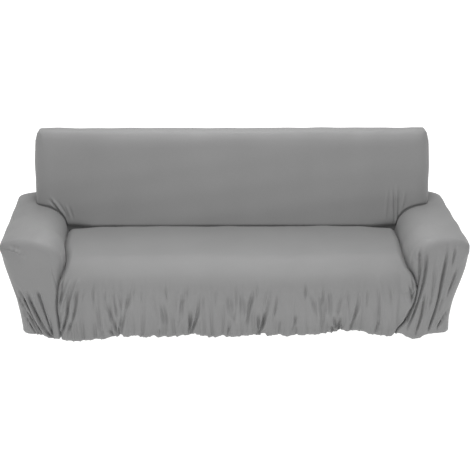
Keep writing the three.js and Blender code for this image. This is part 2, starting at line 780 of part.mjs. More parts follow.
/** A line up the corner between the front face and an end wall, turned by an angle. */
function cornerColumn(side, angle) {
  const [c, s] = [Math.cos(radians(angle)), Math.sin(radians(angle))];
  const place = ({ y, z, facing, round }) => {
    const radius = mix(BACK.edgeRound, BACK.cornerRound, round);
    const x = side * (backHalf(z) - radius * (1 - s));
    const [inY, inZ] = facing.map((n) => n * radius * (1 - c));
    return new THREE.Vector3(x, y - inY, z - inZ + earRise(x, z) * c);
  };
  const reach = BACK_HALF[0].x - BACK.cornerRound * (1 - s);
  const foot = backFoot(side * reach, SEAT.crease + BACK.cornerRound);
  const lower = LOWER_ROWS.map((up) => {
    const z = mix(foot, BACK.levelRow, up);
    return place({ y: backFace(0, z), z, facing: [-1, 0], round: 1 });
  });
  return [...lower, ...SECTION.map(place)];
}

/** An end wall, row by row from the arm up. Rows run from the front backwards. */
function endWall(side, edge) {
  const top = edge.slice(CORNER_INDEX);
  const foot = backFoot(side * BACK_HALF[0].x, ARM.rear - ARM.rearRoll);
  const rows = edge.slice(0, CORNER_INDEX).map((front, i) => {
    const z = mix(foot, BACK.seamHeight, i / CORNER_INDEX);
    const rear = { y: rearFace(z) - BACK.edgeRound, z };
    return [0, 0.33, 0.67, 1].map((across) => {
      const [y, height] = [mix(front.y, rear.y, across), mix(front.z, rear.z, across)];
      return new THREE.Vector3(across ? side * backHalf(height) : front.x, y, height);
    });
  });
  return [...rows, top];
}

function insideBack() {
  const sheet = new Sheet();
  const arches = [ARMS.left, ARMS.right].map((arm) => {
    const { inner } = armSection(arm, SEAT.crease);
    const start = Math.acos(1 - (CORNER_START - inner) / ARM.innerWidth);
    const along = ARCH_COLUMNS.map((part) => ARM.innerWidth * (1 - Math.cos(start * part)));
    const reaches = [ARCH_SHIFT.before, ...along.map((width) => width + ARCH_SHIFT.inside)];
    return reaches.map((reach) => arm.side * (inner + reach));
  });
  const middle = MIDDLE_COLUMNS.map((part) => part * rightSeam(runAtDepth(SEAT.crease)));
  const across = [...arches[0].reverse(), ...middle, ...arches[1]].map(backColumn);
  const corner = (side) => CORNER_TURN.map((angle) => cornerColumn(side, angle));
  const [left, right] = [corner(-1), corner(1)];
  sheet.rows([...left].reverse().concat(across, right).map((line) => [...line].reverse()));
  sheet.rows(endWall(-1, left[left.length - 1]).map((row) => [...row].reverse()));
  sheet.rows(endWall(1, right[right.length - 1]));
  return sheet.solid();
}

const REAR_LEVELS = [0, 0.04, 0.2, 0.4, 0.53, 0.575, 0.62, 0.7, 0.85, 1]; // from the hem to the seam
const REAR_CURL = { start: 478, fade: 26, turns: [85, 55, 25] }; // heights, and degrees round it
const REAR_COLUMNS = 9;

/** The rear panel, whose upper corners curl forward to the end walls. */
function outsideBack() {
  const sheet = new Sheet();
  const top = BACK.seamHeight - SEAM;
  sheet.rows(REAR_LEVELS.map((up) => {
    const level = mix(rearHem(0), top, up);
    const half = backHalf(level) - BACK.edgeRound;
    const curl = ease((level - REAR_CURL.start) / REAR_CURL.fade) * BACK.edgeRound;
    const edges = REAR_CURL.turns.map((angle) => ({
      x: half + BACK.edgeRound * Math.sin(radians(angle)),
      in: curl * (1 - Math.cos(radians(angle))),
    }));
    const middle = steps(half, -half, REAR_COLUMNS).map((x) => ({ x, in: 0 }));
    const mirrored = [...edges].reverse().map((edge) => ({ ...edge, x: -edge.x }));
    return [...edges, ...middle, ...mirrored].map(({ x, in: inward }) => {
      const z = mix(rearHem(x), top, up);
      return new THREE.Vector3(x, rearFace(z) - inward, z);
    });
  }));
  return sheet.solid();
}

// ---------------------------------------------------------------- the cover
function cloth(name, geometry) {
  const material = new THREE.MeshStandardMaterial({ color: 0x8a8a8a, roughness: 0.92, metalness: 0 });
  const mesh = new THREE.Mesh(geometry, material);
  mesh.name = name;
  return mesh;
}

const cover = new THREE.Group();
cover.add(cloth('seat_front', seatFront()));
cover.add(cloth('arm_left', armPiece(ARMS.left)));
cover.add(cloth('arm_right', armPiece(ARMS.right)));
cover.add(cloth('inside_back', insideBack()));
cover.add(cloth('outside_back', outsideBack()));

// The origin lies at the middle of the cover's footprint, at the height of its lowest hem.
const box = new THREE.Box3().setFromObject(cover);
cover.position.set(-(box.min.x + box.max.x) / 2, -(box.min.y + box.max.y) / 2, -box.min.z);

export default cover;
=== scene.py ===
"""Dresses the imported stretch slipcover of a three-seat sofa and sets it in a plain studio.

Sizes are in millimetres in the frame of the sofa that the cover is pulled over: x from the middle
of the seat, y from the front of the apron to the back, z up from just below the lowest hem. Each
cut piece is laid out as grids of points on the sofa's form, creased, welded and given its
thickness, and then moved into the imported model's frame.
"""

from __future__ import annotations

import logging
import math
from dataclasses import dataclass
from enum import Enum
from typing import Callable, Sequence

import bpy
import numpy as np
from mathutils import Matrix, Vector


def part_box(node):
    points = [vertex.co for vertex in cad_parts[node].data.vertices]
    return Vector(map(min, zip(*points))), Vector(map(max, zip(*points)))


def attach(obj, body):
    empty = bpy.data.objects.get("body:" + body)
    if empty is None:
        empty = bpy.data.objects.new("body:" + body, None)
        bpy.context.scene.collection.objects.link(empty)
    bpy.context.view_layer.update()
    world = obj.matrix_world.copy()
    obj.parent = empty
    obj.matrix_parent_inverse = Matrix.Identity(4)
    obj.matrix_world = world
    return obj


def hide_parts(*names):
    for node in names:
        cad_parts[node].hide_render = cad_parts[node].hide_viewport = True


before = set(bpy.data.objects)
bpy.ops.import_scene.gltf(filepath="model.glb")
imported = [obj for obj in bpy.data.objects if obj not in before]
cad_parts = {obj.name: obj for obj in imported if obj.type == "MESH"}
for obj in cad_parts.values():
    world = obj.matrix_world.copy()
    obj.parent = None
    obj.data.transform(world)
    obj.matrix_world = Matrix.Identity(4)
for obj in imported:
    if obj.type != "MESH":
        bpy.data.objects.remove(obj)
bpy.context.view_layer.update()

Array = np.ndarray
LOG = logging.getLogger("slipcover")
MM = 0.001
CLOTH = 2.0  # thickness of the jersey
SEAM = 1.6  # gap between two pieces along a seam
HEM_CURL = 3.0  # how far the hem's edge curls in
HEM_HEIGHT = 6.0  # height of that curl
FAR = 1e3  # height above the hem given to points that none of its crinkles reach
GRAIN = 20.0  # points that share their place to 1 / GRAIN mm are welded
TINY = 1e-9  # least length that a sum of directions is divided by
LAST = slice(-1, None)  # the last section or column of a line
WHITE = (1.0, 1.0, 1.0, 1.0)


# ---------------------------------------------------------------- numbers and curves
def mix(a: Array | float, b: Array | float, part: Array | float) -> Array | float:
    """Value a part of the way from a to b."""
    return a + (b - a) * part


def ease(part: Array | float) -> Array:
    """0 below 0, 1 above 1, and a smooth step between."""
    t = np.clip(part, 0.0, 1.0)
    return t * t * (3.0 - 2.0 * t)


def quarter(part: Array | float) -> Array:
    """0 at the start of a rounded edge, 1 where the quarter circle has turned right down."""
    return 1.0 - np.sqrt(1.0 - np.clip(part, 0.0, 1.0) ** 2)


def bell(across: Array | float) -> Array:
    """A bell curve of height 1."""
    return np.exp(-(across**2))


def between(start: float, end: float, step: float) -> Array:
    """Even places from start to end, both included, about a step apart."""
    return np.linspace(start, end, max(2, round(abs(end - start) / step)) + 1)


def smooth_curve(places: Sequence[float], values: Sequence[float]) -> Callable[[Array], Array]:
    """A smooth curve without overshoot through some points.

    Args:
        places: The points' places, in rising order.
        values: The curve's values there.

    Returns:
        A function of a place, which holds the end values past both ends.
    """
    at, value = np.array(places, float), np.array(values, float)
    rise = np.diff(value) / np.diff(at)
    before = np.concatenate([rise[:1], rise])
    after = np.concatenate([rise, rise[-1:]])
    flat = before * after <= 0
    slope = np.where(flat, 0.0, 2.0 * before * after / np.where(flat, 1.0, before + after))

    def read(place: Array | float) -> Array:
        """Reads the curve.

        Args:
            place: Where it is read.

        Returns:
            Its value there.
        """
        p = np.clip(place, at[0], at[-1])
        i = np.clip(np.searchsorted(at, p) - 1, 0, len(at) - 2)
        span = at[i + 1] - at[i]
        t = (p - at[i]) / span
        bend = (slope[i] * (1 - t) - slope[i + 1] * t) * span * t * (1 - t)
        return mix(value[i], value[i + 1], ease(t)) + bend

    return read


class Table:
    """Rows of numbers under named columns."""

    def __init__(self, names: str, *rows: Sequence[float]) -> None:
        """Keeps the rows.

        Args:
            names: The columns' names, with spaces between them.
            rows: One sequence of numbers for each row.
        """
        self.names = names.split()
        self.rows = rows

    def curve(self, at: str, value: str) -> Callable[[Array | float], Array]:
        """A smooth curve through two of the columns."""
        columns = [[row[self.names.index(name)] for row in self.rows] for name in (at, value)]
        return smooth_curve(*columns)


# ---------------------------------------------------------------- creases
@dataclass(frozen=True)
class Fold:
    """A trough that runs down a flat chart, or a ridge where its rise is positive.

    path holds pairs of a height and a sideways place, from the top down. full holds the two
    heights between which the fold has its whole rise, and foot the part left at its lower end.
    """

    path: tuple[tuple[float, float], ...]
    width: float
    rise: float
    full: tuple[float, float]
    foot: float = 0.5

    SPREAD = (1.35, 0.9)  # share of the width at the top and at the foot
    LEAN_STEP = 4.0  # distance up and down over which the path's lean is taken
    EDGE = 0.4  # roundness of a narrow trough's bottom, in widths
    STEEPNESS = 1.5  # steepness of a narrow trough's sides
    LIP = (0.32, 2.3, 0.9)  # height, distance and width of the low ridges beside a trough
    SOFT = (5.0, 9.0)  # width up to which a trough is sharp, and from which it is wholly soft
    FADE = (1.6, 1.8)  # length of the upper fade, in parts of the path's there, and its power
    PAST = 22.0  # how far a fold runs on below its foot

    def height(self, x: Array, z: Array) -> Array:
        """How far the fold pushes each point of its chart outwards.

        Args:
            x: Sideways places.
            z: Heights.

        Returns:
            The push at each point.
        """
        rising = self.path[::-1]
        middle = smooth_curve([at for at, _ in rising], [place for _, place in rising])
        top, low = self.path[0][0], self.path[-1][0]
        t = np.clip((top - z) / (top - low), 0.0, 1.0)
        step = self.LEAN_STEP
        lean = (middle(z + step) - middle(z - step)) / (2.0 * step)
        width = self.width * mix(*self.SPREAD, t) * np.hypot(1.0, lean)
        high, deep = self.full
        length, power = self.FADE
        fade = length * (top - high)
        strength = np.clip((high + fade - z) / fade, 0.0, 1.0) ** power
        strength = strength * mix(1.0, self.foot, ease((deep - z) / max(deep - low, 1.0)))
        strength = strength * ease((z - low + self.PAST) / self.PAST)
        across = (x - middle(z)) / width
        if self.rise > 0:
            return self.rise * strength * bell(across)
        start, end = self.SOFT
        soft = ease((self.width - start) / (end - start))
        sharp = np.exp(-self.STEEPNESS * (np.hypot(across, self.EDGE) - self.EDGE))
        trough = mix(sharp, bell(across), soft)
        size, place, spread = self.LIP
        lips = bell((across - place) / spread) + bell((across + place) / spread)
        return self.rise * strength * (trough - size * lips)


def creased(folds: Sequence[Fold], x: Array, z: Array) -> Array:
    """Sum of several folds' pushes at each point.

    Args:
        folds: The folds of one chart.
        x: Sideways places.
        z: Heights.

    Returns:
        The push at each point.
    """
    total = np.zeros(np.broadcast(x, z).shape)
    for fold in folds:
        total = total + fold.height(x, z)
    return total


@dataclass(frozen=True)
class Ruffles:
    """Small uneven crinkles that the hem's elastic draws up along it.

    gathers holds the places where they are stronger, calm is their strength away from these, and
    outward is the part of them that are ridges.
    """

    seed: int
    gathers: tuple[float, ...] = ()
    gather_width: float = 45.0
    calm: float = 0.6
    closest: float = 8.0
    widest: float = 24.0
    reach: tuple[float, float] = (20.0, 62.0)
    width: tuple[float, float] = (3.6, 7.0)
    rise: tuple[float, float] = (1.2, 3.4)
    lean: float = 0.35
    outward: float = 0.35
    span: float = 1300.0

    def height(self, along: Array, above: Array) -> Array:
        """How far the crinkles push points near the hem outwards.

        Args:
            along: Places along the hem.
            above: Heights above the hem.

        Returns:
            The push at each point.
        """
        draw = np.random.default_rng(self.seed)
        total = np.zeros(np.broadcast(along, above).shape)
        place = -self.span
        while place < self.span:
            place += draw.uniform(self.closest, self.widest)
            reach = draw.uniform(*self.reach)
            width = draw.uniform(*self.width)
            rise = draw.uniform(*self.rise) * (1 if draw.random() < self.outward else -1)
            rise *= self.calm + sum(bell((place - at) / self.gather_width) for at in self.gathers)
            lean = draw.uniform(-self.lean, self.lean)
            across = (along - place - lean * above) / (width * (1.0 + above / reach))
            total = total + rise * bell(across) * ease(1.0 - above / reach)
        return total


# ---------------------------------------------------------------- the sofa's form
# The hem's height along the front, along each side and along the rear.
FRONT_HEM = Table(
    "x z",
    (-1010, 61), (-985, 58), (-970, 51), (-915, 47), (-895, 41), (-875, 31), (-850, 28),
    (-800, 25), (-750, 17), (-700, 21), (-650, 26), (-610, 31), (-568, 39), (-550, 42),
    (-534, 52), (-516, 41), (-485, 43), (-456, 46), (-437, 36), (-398, 39), (-377, 44),
    (-360, 37), (-302, 38), (-265, 40), (-232, 46), (-207, 45), (-181, 55), (-165, 44),
    (-136, 44), (-115, 35), (-82, 37), (-46, 43), (-27, 36), (2, 35), (43, 39), (85, 45),
    (127, 46), (147, 54), (168, 42), (222, 47), (247, 38), (300, 47), (317, 43), (369, 48),
    (415, 50), (448, 55), (486, 64), (512, 74), (532, 64), (586, 68), (623, 62), (652, 51),
    (673, 45), (707, 45), (742, 37), (761, 47), (784, 57), (800, 54), (827, 37), (861, 25),
    (890, 31), (911, 46), (960, 55), (1030, 62),
)
SIDE_HEM = Table(
    "y z", (0, 62), (70, 52), (210, 36), (330, 54), (470, 38), (600, 32), (700, 50), (893, 40)
)
REAR_HEM = Table(
    "x z",
    (-1120, 40), (-820, 32), (-560, 52), (-300, 34), (-20, 44), (240, 30), (520, 50),
    (800, 34), (1120, 40),
)
# Sideways places of the seams between the apron, or the deck, and the arms.
SIDE_SEAMS = Table(
    "run left right",
    (40, -818, 764), (74, -821, 781), (110, -823, 811), (138, -825, 824), (178, -828, 840),
    (210, -827, 852), (240, -824, 858), (290, -820, 865), (340, -815, 859), (385, -804, 849),
    (425, -799, 832), (470, -797, 826), (530, -803, 824), (593, -817, 827), (743, -831, 830),
    (892, -836, 829),
)
# How far the outer walls of the arms draw in below their widest line.
ARM_TAPER = Table(
    "z left right",
    (20, 91, 80), (90, 89, 81), (135, 85, 81), (196, 75, 75), (240, 68, 68), (270, 60, 60),
    (317, 45, 43), (346, 36, 32), (406, 20, 15), (465, 7, 5), (486, 0, 0),
)
# Half the backrest's width at each height, and the depth of its rear face.
BACK_HALF = Table(
    "z x", (400, 1003), (522, 1003), (600, 1005), (700, 1010), (780, 1012), (830, 1009), (873, 1001)
)
REAR_FACE = Table("z y", (20, 886), (200, 893), (480, 893), (560, 884), (680, 864), (838, 838))

front_hem = FRONT_HEM.curve("x", "z")
side_hem = SIDE_HEM.curve("y", "z")
rear_hem = REAR_HEM.curve("x", "z")
left_seam = SIDE_SEAMS.curve("run", "left")
right_seam = SIDE_SEAMS.curve("run", "right")
left_taper = ARM_TAPER.curve("z", "left")
right_taper = ARM_TAPER.curve("z", "right")
back_half = BACK_HALF.curve("z", "x")
rear_face = REAR_FACE.curve("z", "y")


@dataclass(frozen=True)
class SeatForm:
    """The sofa's seat and its apron. A run is the distance up its section from the floor."""

    crease: float = 548.0
    deck_front: float = 400.0
    deck_back: float = 424.0
    roll_back: float = 200.0
    roll_foot: float = 265.0
    front: float = -12.0
    hem_back: float = 10.0
    crease_round: float = 30.0
    crease_drop: float = 5.0
    side_round: float = 38.0
    side_drop: float = 40.0
    seam_round: float = 14.0
    seam_drop: float = 22.0
    lowest_seam: float = 40.0

    @property
    def roll_depth(self) -> float:
        """Depth of the front roll."""
        return self.roll_back - self.front

    @property
    def roll_height(self) -> float:
        """Height of the front roll."""
        return self.deck_front - self.roll_foot

    @property
    def roll_run(self) -> float:
        """Run of the section over the front roll."""
        return math.pi / 2 * math.sqrt((self.roll_depth**2 + self.roll_height**2) / 2)

    def section(self, run: Array, hem: Array | float = 0.0) -> tuple[Array, ...]:
        """The section's place at a run.

        Args:
            run: Distances up the section.
            hem: Height of the hem there.

        Returns:
            y, z and the two parts, along y and z, of the direction in which it faces.
        """
        down = ease((self.roll_foot - run) / (self.roll_foot - hem))
        turn = np.clip((run - self.roll_foot) / self.roll_run, 0.0, 1.0) * math.pi / 2
        c, s = np.cos(turn), np.sin(turn)
        deck_y = self.roll_back + run - self.roll_foot - self.roll_run
        back = (deck_y - self.roll_back) / (self.crease - self.roll_back)
        sunk = self.crease_drop * quarter(1.0 - (self.crease - deck_y) / self.crease_round)
        apron = run <= self.roll_foot
        deck = run >= self.roll_foot + self.roll_run
        deck_z = mix(self.deck_front, self.deck_back, back) - sunk
        roll_y = self.roll_back - self.roll_depth * c
        roll_z = self.roll_foot + self.roll_height * s

        def along(on_apron: Array | float, on_roll: Array, on_deck: Array | float) -> Array:
            """One value on the apron, one on the roll and one on the deck."""
            return np.where(apron, on_apron, np.where(deck, on_deck, on_roll))

        return (
            along(mix(self.front, self.hem_back, down), roll_y, deck_y),
            along(run, roll_z, deck_z),
            along(-1.0, -c, 0.0),
            along(0.0, s, 1.0),
        )

    def run_at(self, y: Array | float) -> Array:
        """Run of the section above a depth.

        Args:
            y: Depths.

        Returns:
            The runs.
        """
        on_deck = self.roll_foot + self.roll_run + np.maximum(y, self.roll_back) - self.roll_back
        c = np.clip((self.roll_back - y) / self.roll_depth, 0.0, 1.0)
        on_roll = self.roll_foot + self.roll_run * np.arccos(c) / (math.pi / 2)
        return np.where(y >= self.roll_back, on_deck, on_roll)

    def upper(self, run: Array) -> Array:
        """0 on the apron, 1 on the deck."""
        return ease((run - self.roll_foot) / self.roll_run)

    def edge_drop(self, run: Array) -> Array:
        """How deep the side edge lies below the surface."""
        return mix(self.seam_drop, self.side_drop, self.upper(run))

    def side_sink(self, x: Array, run: Array) -> Array:
        """How far the surface sinks towards its side seams.

        Args:
            x: Sideways places.
            run: Runs up the section.

        Returns:
            The depths.
        """
        width = mix(self.seam_round, self.side_round, self.upper(run))
        inside = np.minimum(x - left_seam(run), right_seam(run) - x)
        return self.edge_drop(run) * quarter(1.0 - inside / width)

    def seam_place(self, seam: Callable[[Array], Array], part: Array) -> tuple[Array, Array]:
        """A point of an apron's side seam.

        Args:
            seam: Sideways place of the seam at a run.
            part: Parts of the way up from the hem to the roll.

        Returns:
            x and z.
        """
        hem = front_hem(seam(mix(self.lowest_seam, self.roll_foot, part)))
        z = mix(hem, self.roll_foot, part)
        return seam(z), z


@dataclass(frozen=True)
class BackForm:
    """The sofa's backrest. ears holds the place, width and height of the rise at each corner."""

    recline: float = 0.3
    face_top: float = 800.0
    top: float = 873.0
    top_front: float = 740.0
    top_rear: float = 800.0
    seam_rear: float = 838.0
    seam_height: float = 838.0
    corner_round: float = 75.0
    edge_round: float = 18.0
    tuck: float = 34.0
    under_arm: float = 22.0
    level_row: float = 600.0
    seam_half: float = 1003.0
    foot_height: float = 8.0
    foot_depth: float = 4.0
    tilt_fade: float = 170.0
    ears: tuple[tuple[float, float, float], ...] = ((-905.0, 65.0, 5.0), (958.0, 28.0, 3.0))
    ear_fade: float = 50.0

    @property
    def corner_start(self) -> float:
        """The front face curves back past this distance from the middle."""
        return self.seam_half - self.corner_round

    def face(self, seat: SeatForm, x: Array | float, z: Array | float) -> Array:
        """Depth of the front face, which curves back at its foot and towards both ends.

        Args:
            seat: The seat that the backrest stands on.
            x: Sideways places.
            z: Heights.

        Returns:
            y of the face.
        """
        past = (np.abs(x) - (back_half(z) - self.corner_round)) / self.corner_round
        above = z - seat.deck_back
        foot = self.foot_depth * quarter(1.0 - above / self.foot_height)
        leant = seat.crease + self.recline * np.maximum(0.0, above)
        return leant + foot + self.corner_round * quarter(past)

    def ear(self, x: Array, z: Array) -> Array:
        """Extra height of the top roll towards its two corners.

        Args:
            x: Sideways places.
            z: Heights.

        Returns:
            The extra heights.
        """
        rise = 0.0
        for middle, width, height in self.ears:
            rise = rise + height * bell((x - middle) / width)
        return rise * ease((z - self.face_top) / self.ear_fade)

    def section(self, seat: SeatForm, step: float) -> dict[str, Array]:
        """The section from the lowest level row over the top to the rear seam.

        Args:
            seat: The seat that the backrest stands on.
            step: Distance between its points.

        Returns:
            y, z, the direction that it faces as face_y and face_z, and round: 1 where the corner
            beside it has its full radius and 0 where it is a sharp edge.
        """

        def bend(start: Sequence[float], corner: Sequence[float], end: Sequence[float]) -> Array:
            """A curve that rounds a corner.

            Args:
                start: y and z where it starts.
                corner: y and z of the corner that it cuts off.
                end: y and z where it ends.

            Returns:
                Rows of y, z, face_y, face_z and the part of the way.
            """
            size = math.dist(start, corner) + math.dist(corner, end)
            t = between(0.0, 1.0, step / size)
            a, b = mix(start[0], corner[0], t), mix(corner[0], end[0], t)
            c, d = mix(start[1], corner[1], t), mix(corner[1], end[1], t)
            length = np.hypot(b - a, d - c)
            return np.stack([mix(a, b, t), mix(c, d, t), -(d - c) / length, (b - a) / length, t])

        z = between(self.level_row, self.face_top, step)[:-1]
        front = bend(
            (float(self.face(seat, 0.0, self.face_top)), self.face_top),
            (float(self.face(seat, 0.0, self.top)), self.top),
            (self.top_front, self.top),
        )
        tilt = ease(1.0 - (self.face_top - z) / self.tilt_fade)
        face_y, face_z = mix(-1.0, front[2, 0], tilt), front[3, 0] * tilt
        face = np.stack([self.face(seat, 0.0, z), z, face_y, face_z, 0 * z])
        y = between(self.top_front, self.top_rear, step)[1:-1]
        flat = np.stack([y, 0 * y + self.top, 0 * y, 0 * y + 1, 0 * y + 1])
        rear = bend(
            (self.top_rear, self.top), (self.seam_rear, self.top), (self.seam_rear, self.seam_height)
        )
        rear[4] = 1.0
        columns = np.concatenate([face, front, flat, rear], axis=1)
        columns[4] = 1.0 - columns[4]
        return dict(zip(("y", "z", "face_y", "face_z", "round"), columns))


@dataclass(frozen=True)
class ArmForm:
    """One of the sofa's arms. Reach is the distance from the sofa's middle."""

    side: int
    front_x: float
    rear_x: float
    front_width: float = 118.0
    rear_width: float = 160.0
    top: float = 522.0
    inner_width: float = 140.0
    inner_foot: float = 410.0
    outer_foot: float = 486.0
    front_roll: float = 45.0
    rear_roll: float = 44.0
    front: float = -9.0
    front_hem: float = 12.0
    rear: float = 893.0
    rear_taper: float = 0.5
    taper_lift: float = 0.0
    inner_tuck: float = 22.0
    lowest_run: float = 430.0

    @property
    def seam(self) -> Callable[[Array], Array]:
        """Sideways place of the seam with the seat piece, at a run of the seat's section."""
        return left_seam if self.side < 0 else right_seam

    @property
    def taper(self) -> Callable[[Array], Array]:
        """How far the outer wall draws in at a height."""
        return left_taper if self.side < 0 else right_taper

    def seam_reach(self, run: Array) -> Array:
        """Reach of the seam with the seat piece."""
        return self.side * self.seam(run)

    def inner(self, seat: SeatForm, y: Array) -> Array:
        """Reach at which the arch's inner quarter ends."""
        run = seat.run_at(np.clip(y, seat.front, seat.crease))
        return self.seam_reach(np.maximum(run, self.lowest_run))

    def outer(self, y: Array) -> Array:
        """Reach of the arm's widest line."""
        return mix(self.front_x, self.rear_x, np.clip(y / self.rear, 0.0, 1.0))

    def outer_width(self, y: Array) -> Array:
        """Width of the arch's outer quarter."""
        return mix(self.front_width, self.rear_width, np.clip(y / self.rear, 0.0, 1.0))

    def face_y(self, seat: SeatForm, z: Array) -> Array:
        """Depth of the front face, drawn back a little at the hem."""
        return mix(self.front, self.front_hem, ease((seat.roll_foot - z) / seat.roll_foot))

    def arch(self, seat: SeatForm, reach: Array, y: Array) -> Array:
        """Height of the arch.

        Args:
            seat: The seat between the arms.
            reach: Distances from the sofa's middle.
            y: Depths.

        Returns:
            z of the arch.
        """
        inner, outer, width = self.inner(seat, y), self.outer(y), self.outer_width(y)
        from_inner = (inner + self.inner_width - reach) / self.inner_width
        from_outer = (reach - (outer - width)) / width
        inside = self.top - (self.top - self.inner_foot) * quarter(from_inner)
        outside = self.top - (self.top - self.outer_foot) * quarter(from_outer)
        return np.where(from_inner > 0, inside, outside)


SEAT = SeatForm()
BACK = BackForm()
LEFT_ARM = ArmForm(side=-1, front_x=1085.0, rear_x=1132.0, taper_lift=8.0)
RIGHT_ARM = ArmForm(side=1, front_x=1106.0, rear_x=1108.0, taper_lift=26.0)


# ---------------------------------------------------------------- cloth
class Held(Enum):
    """How a sheet of cloth is held."""

    STRETCHED = "stretched"


@dataclass
class Line:
    """Sections of an arm: arrays of reach, y and z, and the direction faced along reach and z."""

    reach: Array
    y: Array
    z: Array
    out: Array
    up: Array

    def joined(self, other: "Line") -> "Line":
        """This line with another one after it."""
        return Line(*(np.concatenate(pair, axis=1) for pair in zip(self.parts(), other.parts())))

    def parts(self) -> tuple[Array, ...]:
        """All five arrays."""
        return self.reach, self.y, self.z, self.out, self.up

    def cut(self, columns: slice) -> "Line":
        """Some of its columns."""
        return Line(*(part[:, columns] for part in self.parts()))

    def rows(self, chosen: slice) -> "Line":
        """Some of its sections."""
        return Line(*(part[chosen] for part in self.parts()))

    def then(self, other: "Line") -> "Line":
        """These sections with others after them."""
        return Line(*(np.concatenate(pair) for pair in zip(self.parts(), other.parts())))

    def start(self, count: int) -> list[Array]:
        """reach, y and z of the first section's first points, each as a column."""
        return [part[0, :count, None] for part in (self.reach, self.y, self.z)]


class Sheet:
    """One cut piece of cloth, gathered from grids of points that share their edges."""

    LEVEL = (90.0, 60.0)  # height below which pushes turn level, and over how much they do
    RIPPLE = (40.0, 0.2)  # height below which crinkles also rise and sink, and their part that does

    def __init__(self, name: str, flip: bool = False) -> None:
        """Starts an empty sheet.

        Args:
            name: Name of the finished piece.
            flip: Whether its grids' rows run the mirrored way round.
        """
        self.name = name
        self.flip = flip
        self.points: list[Array] = []
        self.layout: list[Array] = []
        self.above: list[Array] = []
        self.faces: list[Array] = []
        self.count = 0

    def add(self, points: Array, above: Array | None = None) -> None:
        """Adds a grid. Seen from outside its rows run to the right and the next row lies above.

        Args:
            points: Rows, columns and the three coordinates.
            above: Height of each point above the hem, where the hem's crinkles reach.
        """
        rows, columns = points.shape[:2]
        along = np.linalg.norm(np.diff(points, axis=1), axis=2)
        up = np.linalg.norm(np.diff(points, axis=0), axis=2)
        u = np.concatenate([np.zeros((rows, 1)), np.cumsum(along, axis=1)], axis=1)
        v = np.concatenate([np.zeros((1, columns)), np.cumsum(up, axis=0)], axis=0)
        u = u - u[:, columns // 2 : columns // 2 + 1]
        index = np.arange(rows * columns).reshape(rows, columns) + self.count
        quads = [index[:-1, :-1], index[:-1, 1:], index[1:, 1:], index[1:, :-1]]
        self.points.append(points.reshape(-1, 3))
        self.layout.append(np.stack([u, v], axis=2).reshape(-1, 2) * MM)
        self.above.append(np.full(rows * columns, FAR) if above is None else above.reshape(-1))
        self.faces.append(np.stack([quad.reshape(-1) for quad in quads], axis=1))
        self.count += rows * columns

    def weld(self) -> tuple[Array, Array, Array, Array]:
        """Merges the points that grids share.

        Returns:
            Points, heights above the hem, faces and each face corner's place on the flat cloth.
        """
        points = np.concatenate(self.points)
        keys = np.round(points * GRAIN).astype(np.int64)
        _, first, where = np.unique(keys, axis=0, return_index=True, return_inverse=True)
        faces = np.concatenate(self.faces)
        layout = np.concatenate(self.layout)[faces]
        above = np.concatenate(self.above)
        low = np.full(len(first), FAR)
        np.minimum.at(low, where.reshape(-1), above)
        return points[first], low, where.reshape(-1)[faces], layout

    def normals(self, points: Array, faces: Array) -> Array:
        """Directions in which the outer surface faces at its points.

        Args:
            points: Places of the points.
            faces: Four points for each face.

        Returns:
            One unit vector for each point.
        """
        a, b, c, d = (points[faces[:, i]] for i in range(4))
        area = np.cross(c - a, d - b) * (-1.0 if self.flip else 1.0)
        total = np.zeros_like(points)
        for i in range(4):
            np.add.at(total, faces[:, i], area)
        length = np.linalg.norm(total, axis=1, keepdims=True)
        return total / np.maximum(length, TINY)

    def mesh(self, ruffles: Ruffles, drift: "Drift") -> bpy.types.Object:
        """Makes the finished piece.

        Args:
            ruffles: The hem's crinkles.
            drift: The slow unevenness of the whole surface.

        Returns:
            The piece, with its thickness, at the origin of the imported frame.
        """
        points, above, faces, layout = self.weld()
        facing = self.normals(points, faces)
        hem = ruffles.height(points[:, 0] + points[:, 1] * np.sign(points[:, 0]), above)
        push = hem + drift.height(points) - HEM_CURL * bell(above / HEM_HEIGHT)
        level = facing * [1.0, 1.0, 0.0]
        top, fade = self.LEVEL
        near = ease((top - above) / fade)[:, None]
        points = points + mix(facing, level, near) * push[:, None]
        top, share = self.RIPPLE
        points[:, 2] -= share * hem * ease((top - above) / top)
        return self.solid(into_frame(points), faces, layout)

    def solid(self, points: Array, faces: Array, layout: Array) -> bpy.types.Object:
        """Makes a mesh of the outer surface and gives it its thickness.

        Args:
            points: Places in metres.
            faces: Four points for each face.
            layout: Each face corner's place on the flat cloth.

        Returns:
            The piece.
        """
        rings: list[list[int]] = []
        corners: list[Array] = []
        for face, places in zip(faces.tolist(), layout):
            order = range(3, -1, -1) if self.flip else range(4)
            kept = [i for i in order if face[i] != face[i - 1 if i else 3]]
            if len(kept) > 2 and len({face[i] for i in kept}) == len(kept):
                rings.append([face[i] for i in kept])
                corners.append(places[kept])
        data = bpy.data.meshes.new(self.name)
        data.from_pydata(points.tolist(), [], rings)
        unwrapped = data.uv_layers.new(name="cloth")
        unwrapped.data.foreach_set("uv", np.concatenate(corners).reshape(-1))
        piece = bpy.data.objects.new(self.name, data)
        bpy.context.scene.collection.objects.link(piece)
        bpy.context.view_layer.objects.active = piece
        piece.select_set(True)
        wall = piece.modifiers.new("thickness", "SOLIDIFY")
        wall.thickness = CLOTH * MM
        wall.offset = -1.0
        bpy.ops.object.modifier_apply(modifier=wall.name)
        bpy.ops.object.shade_smooth()
        piece.select_set(False)
        return piece


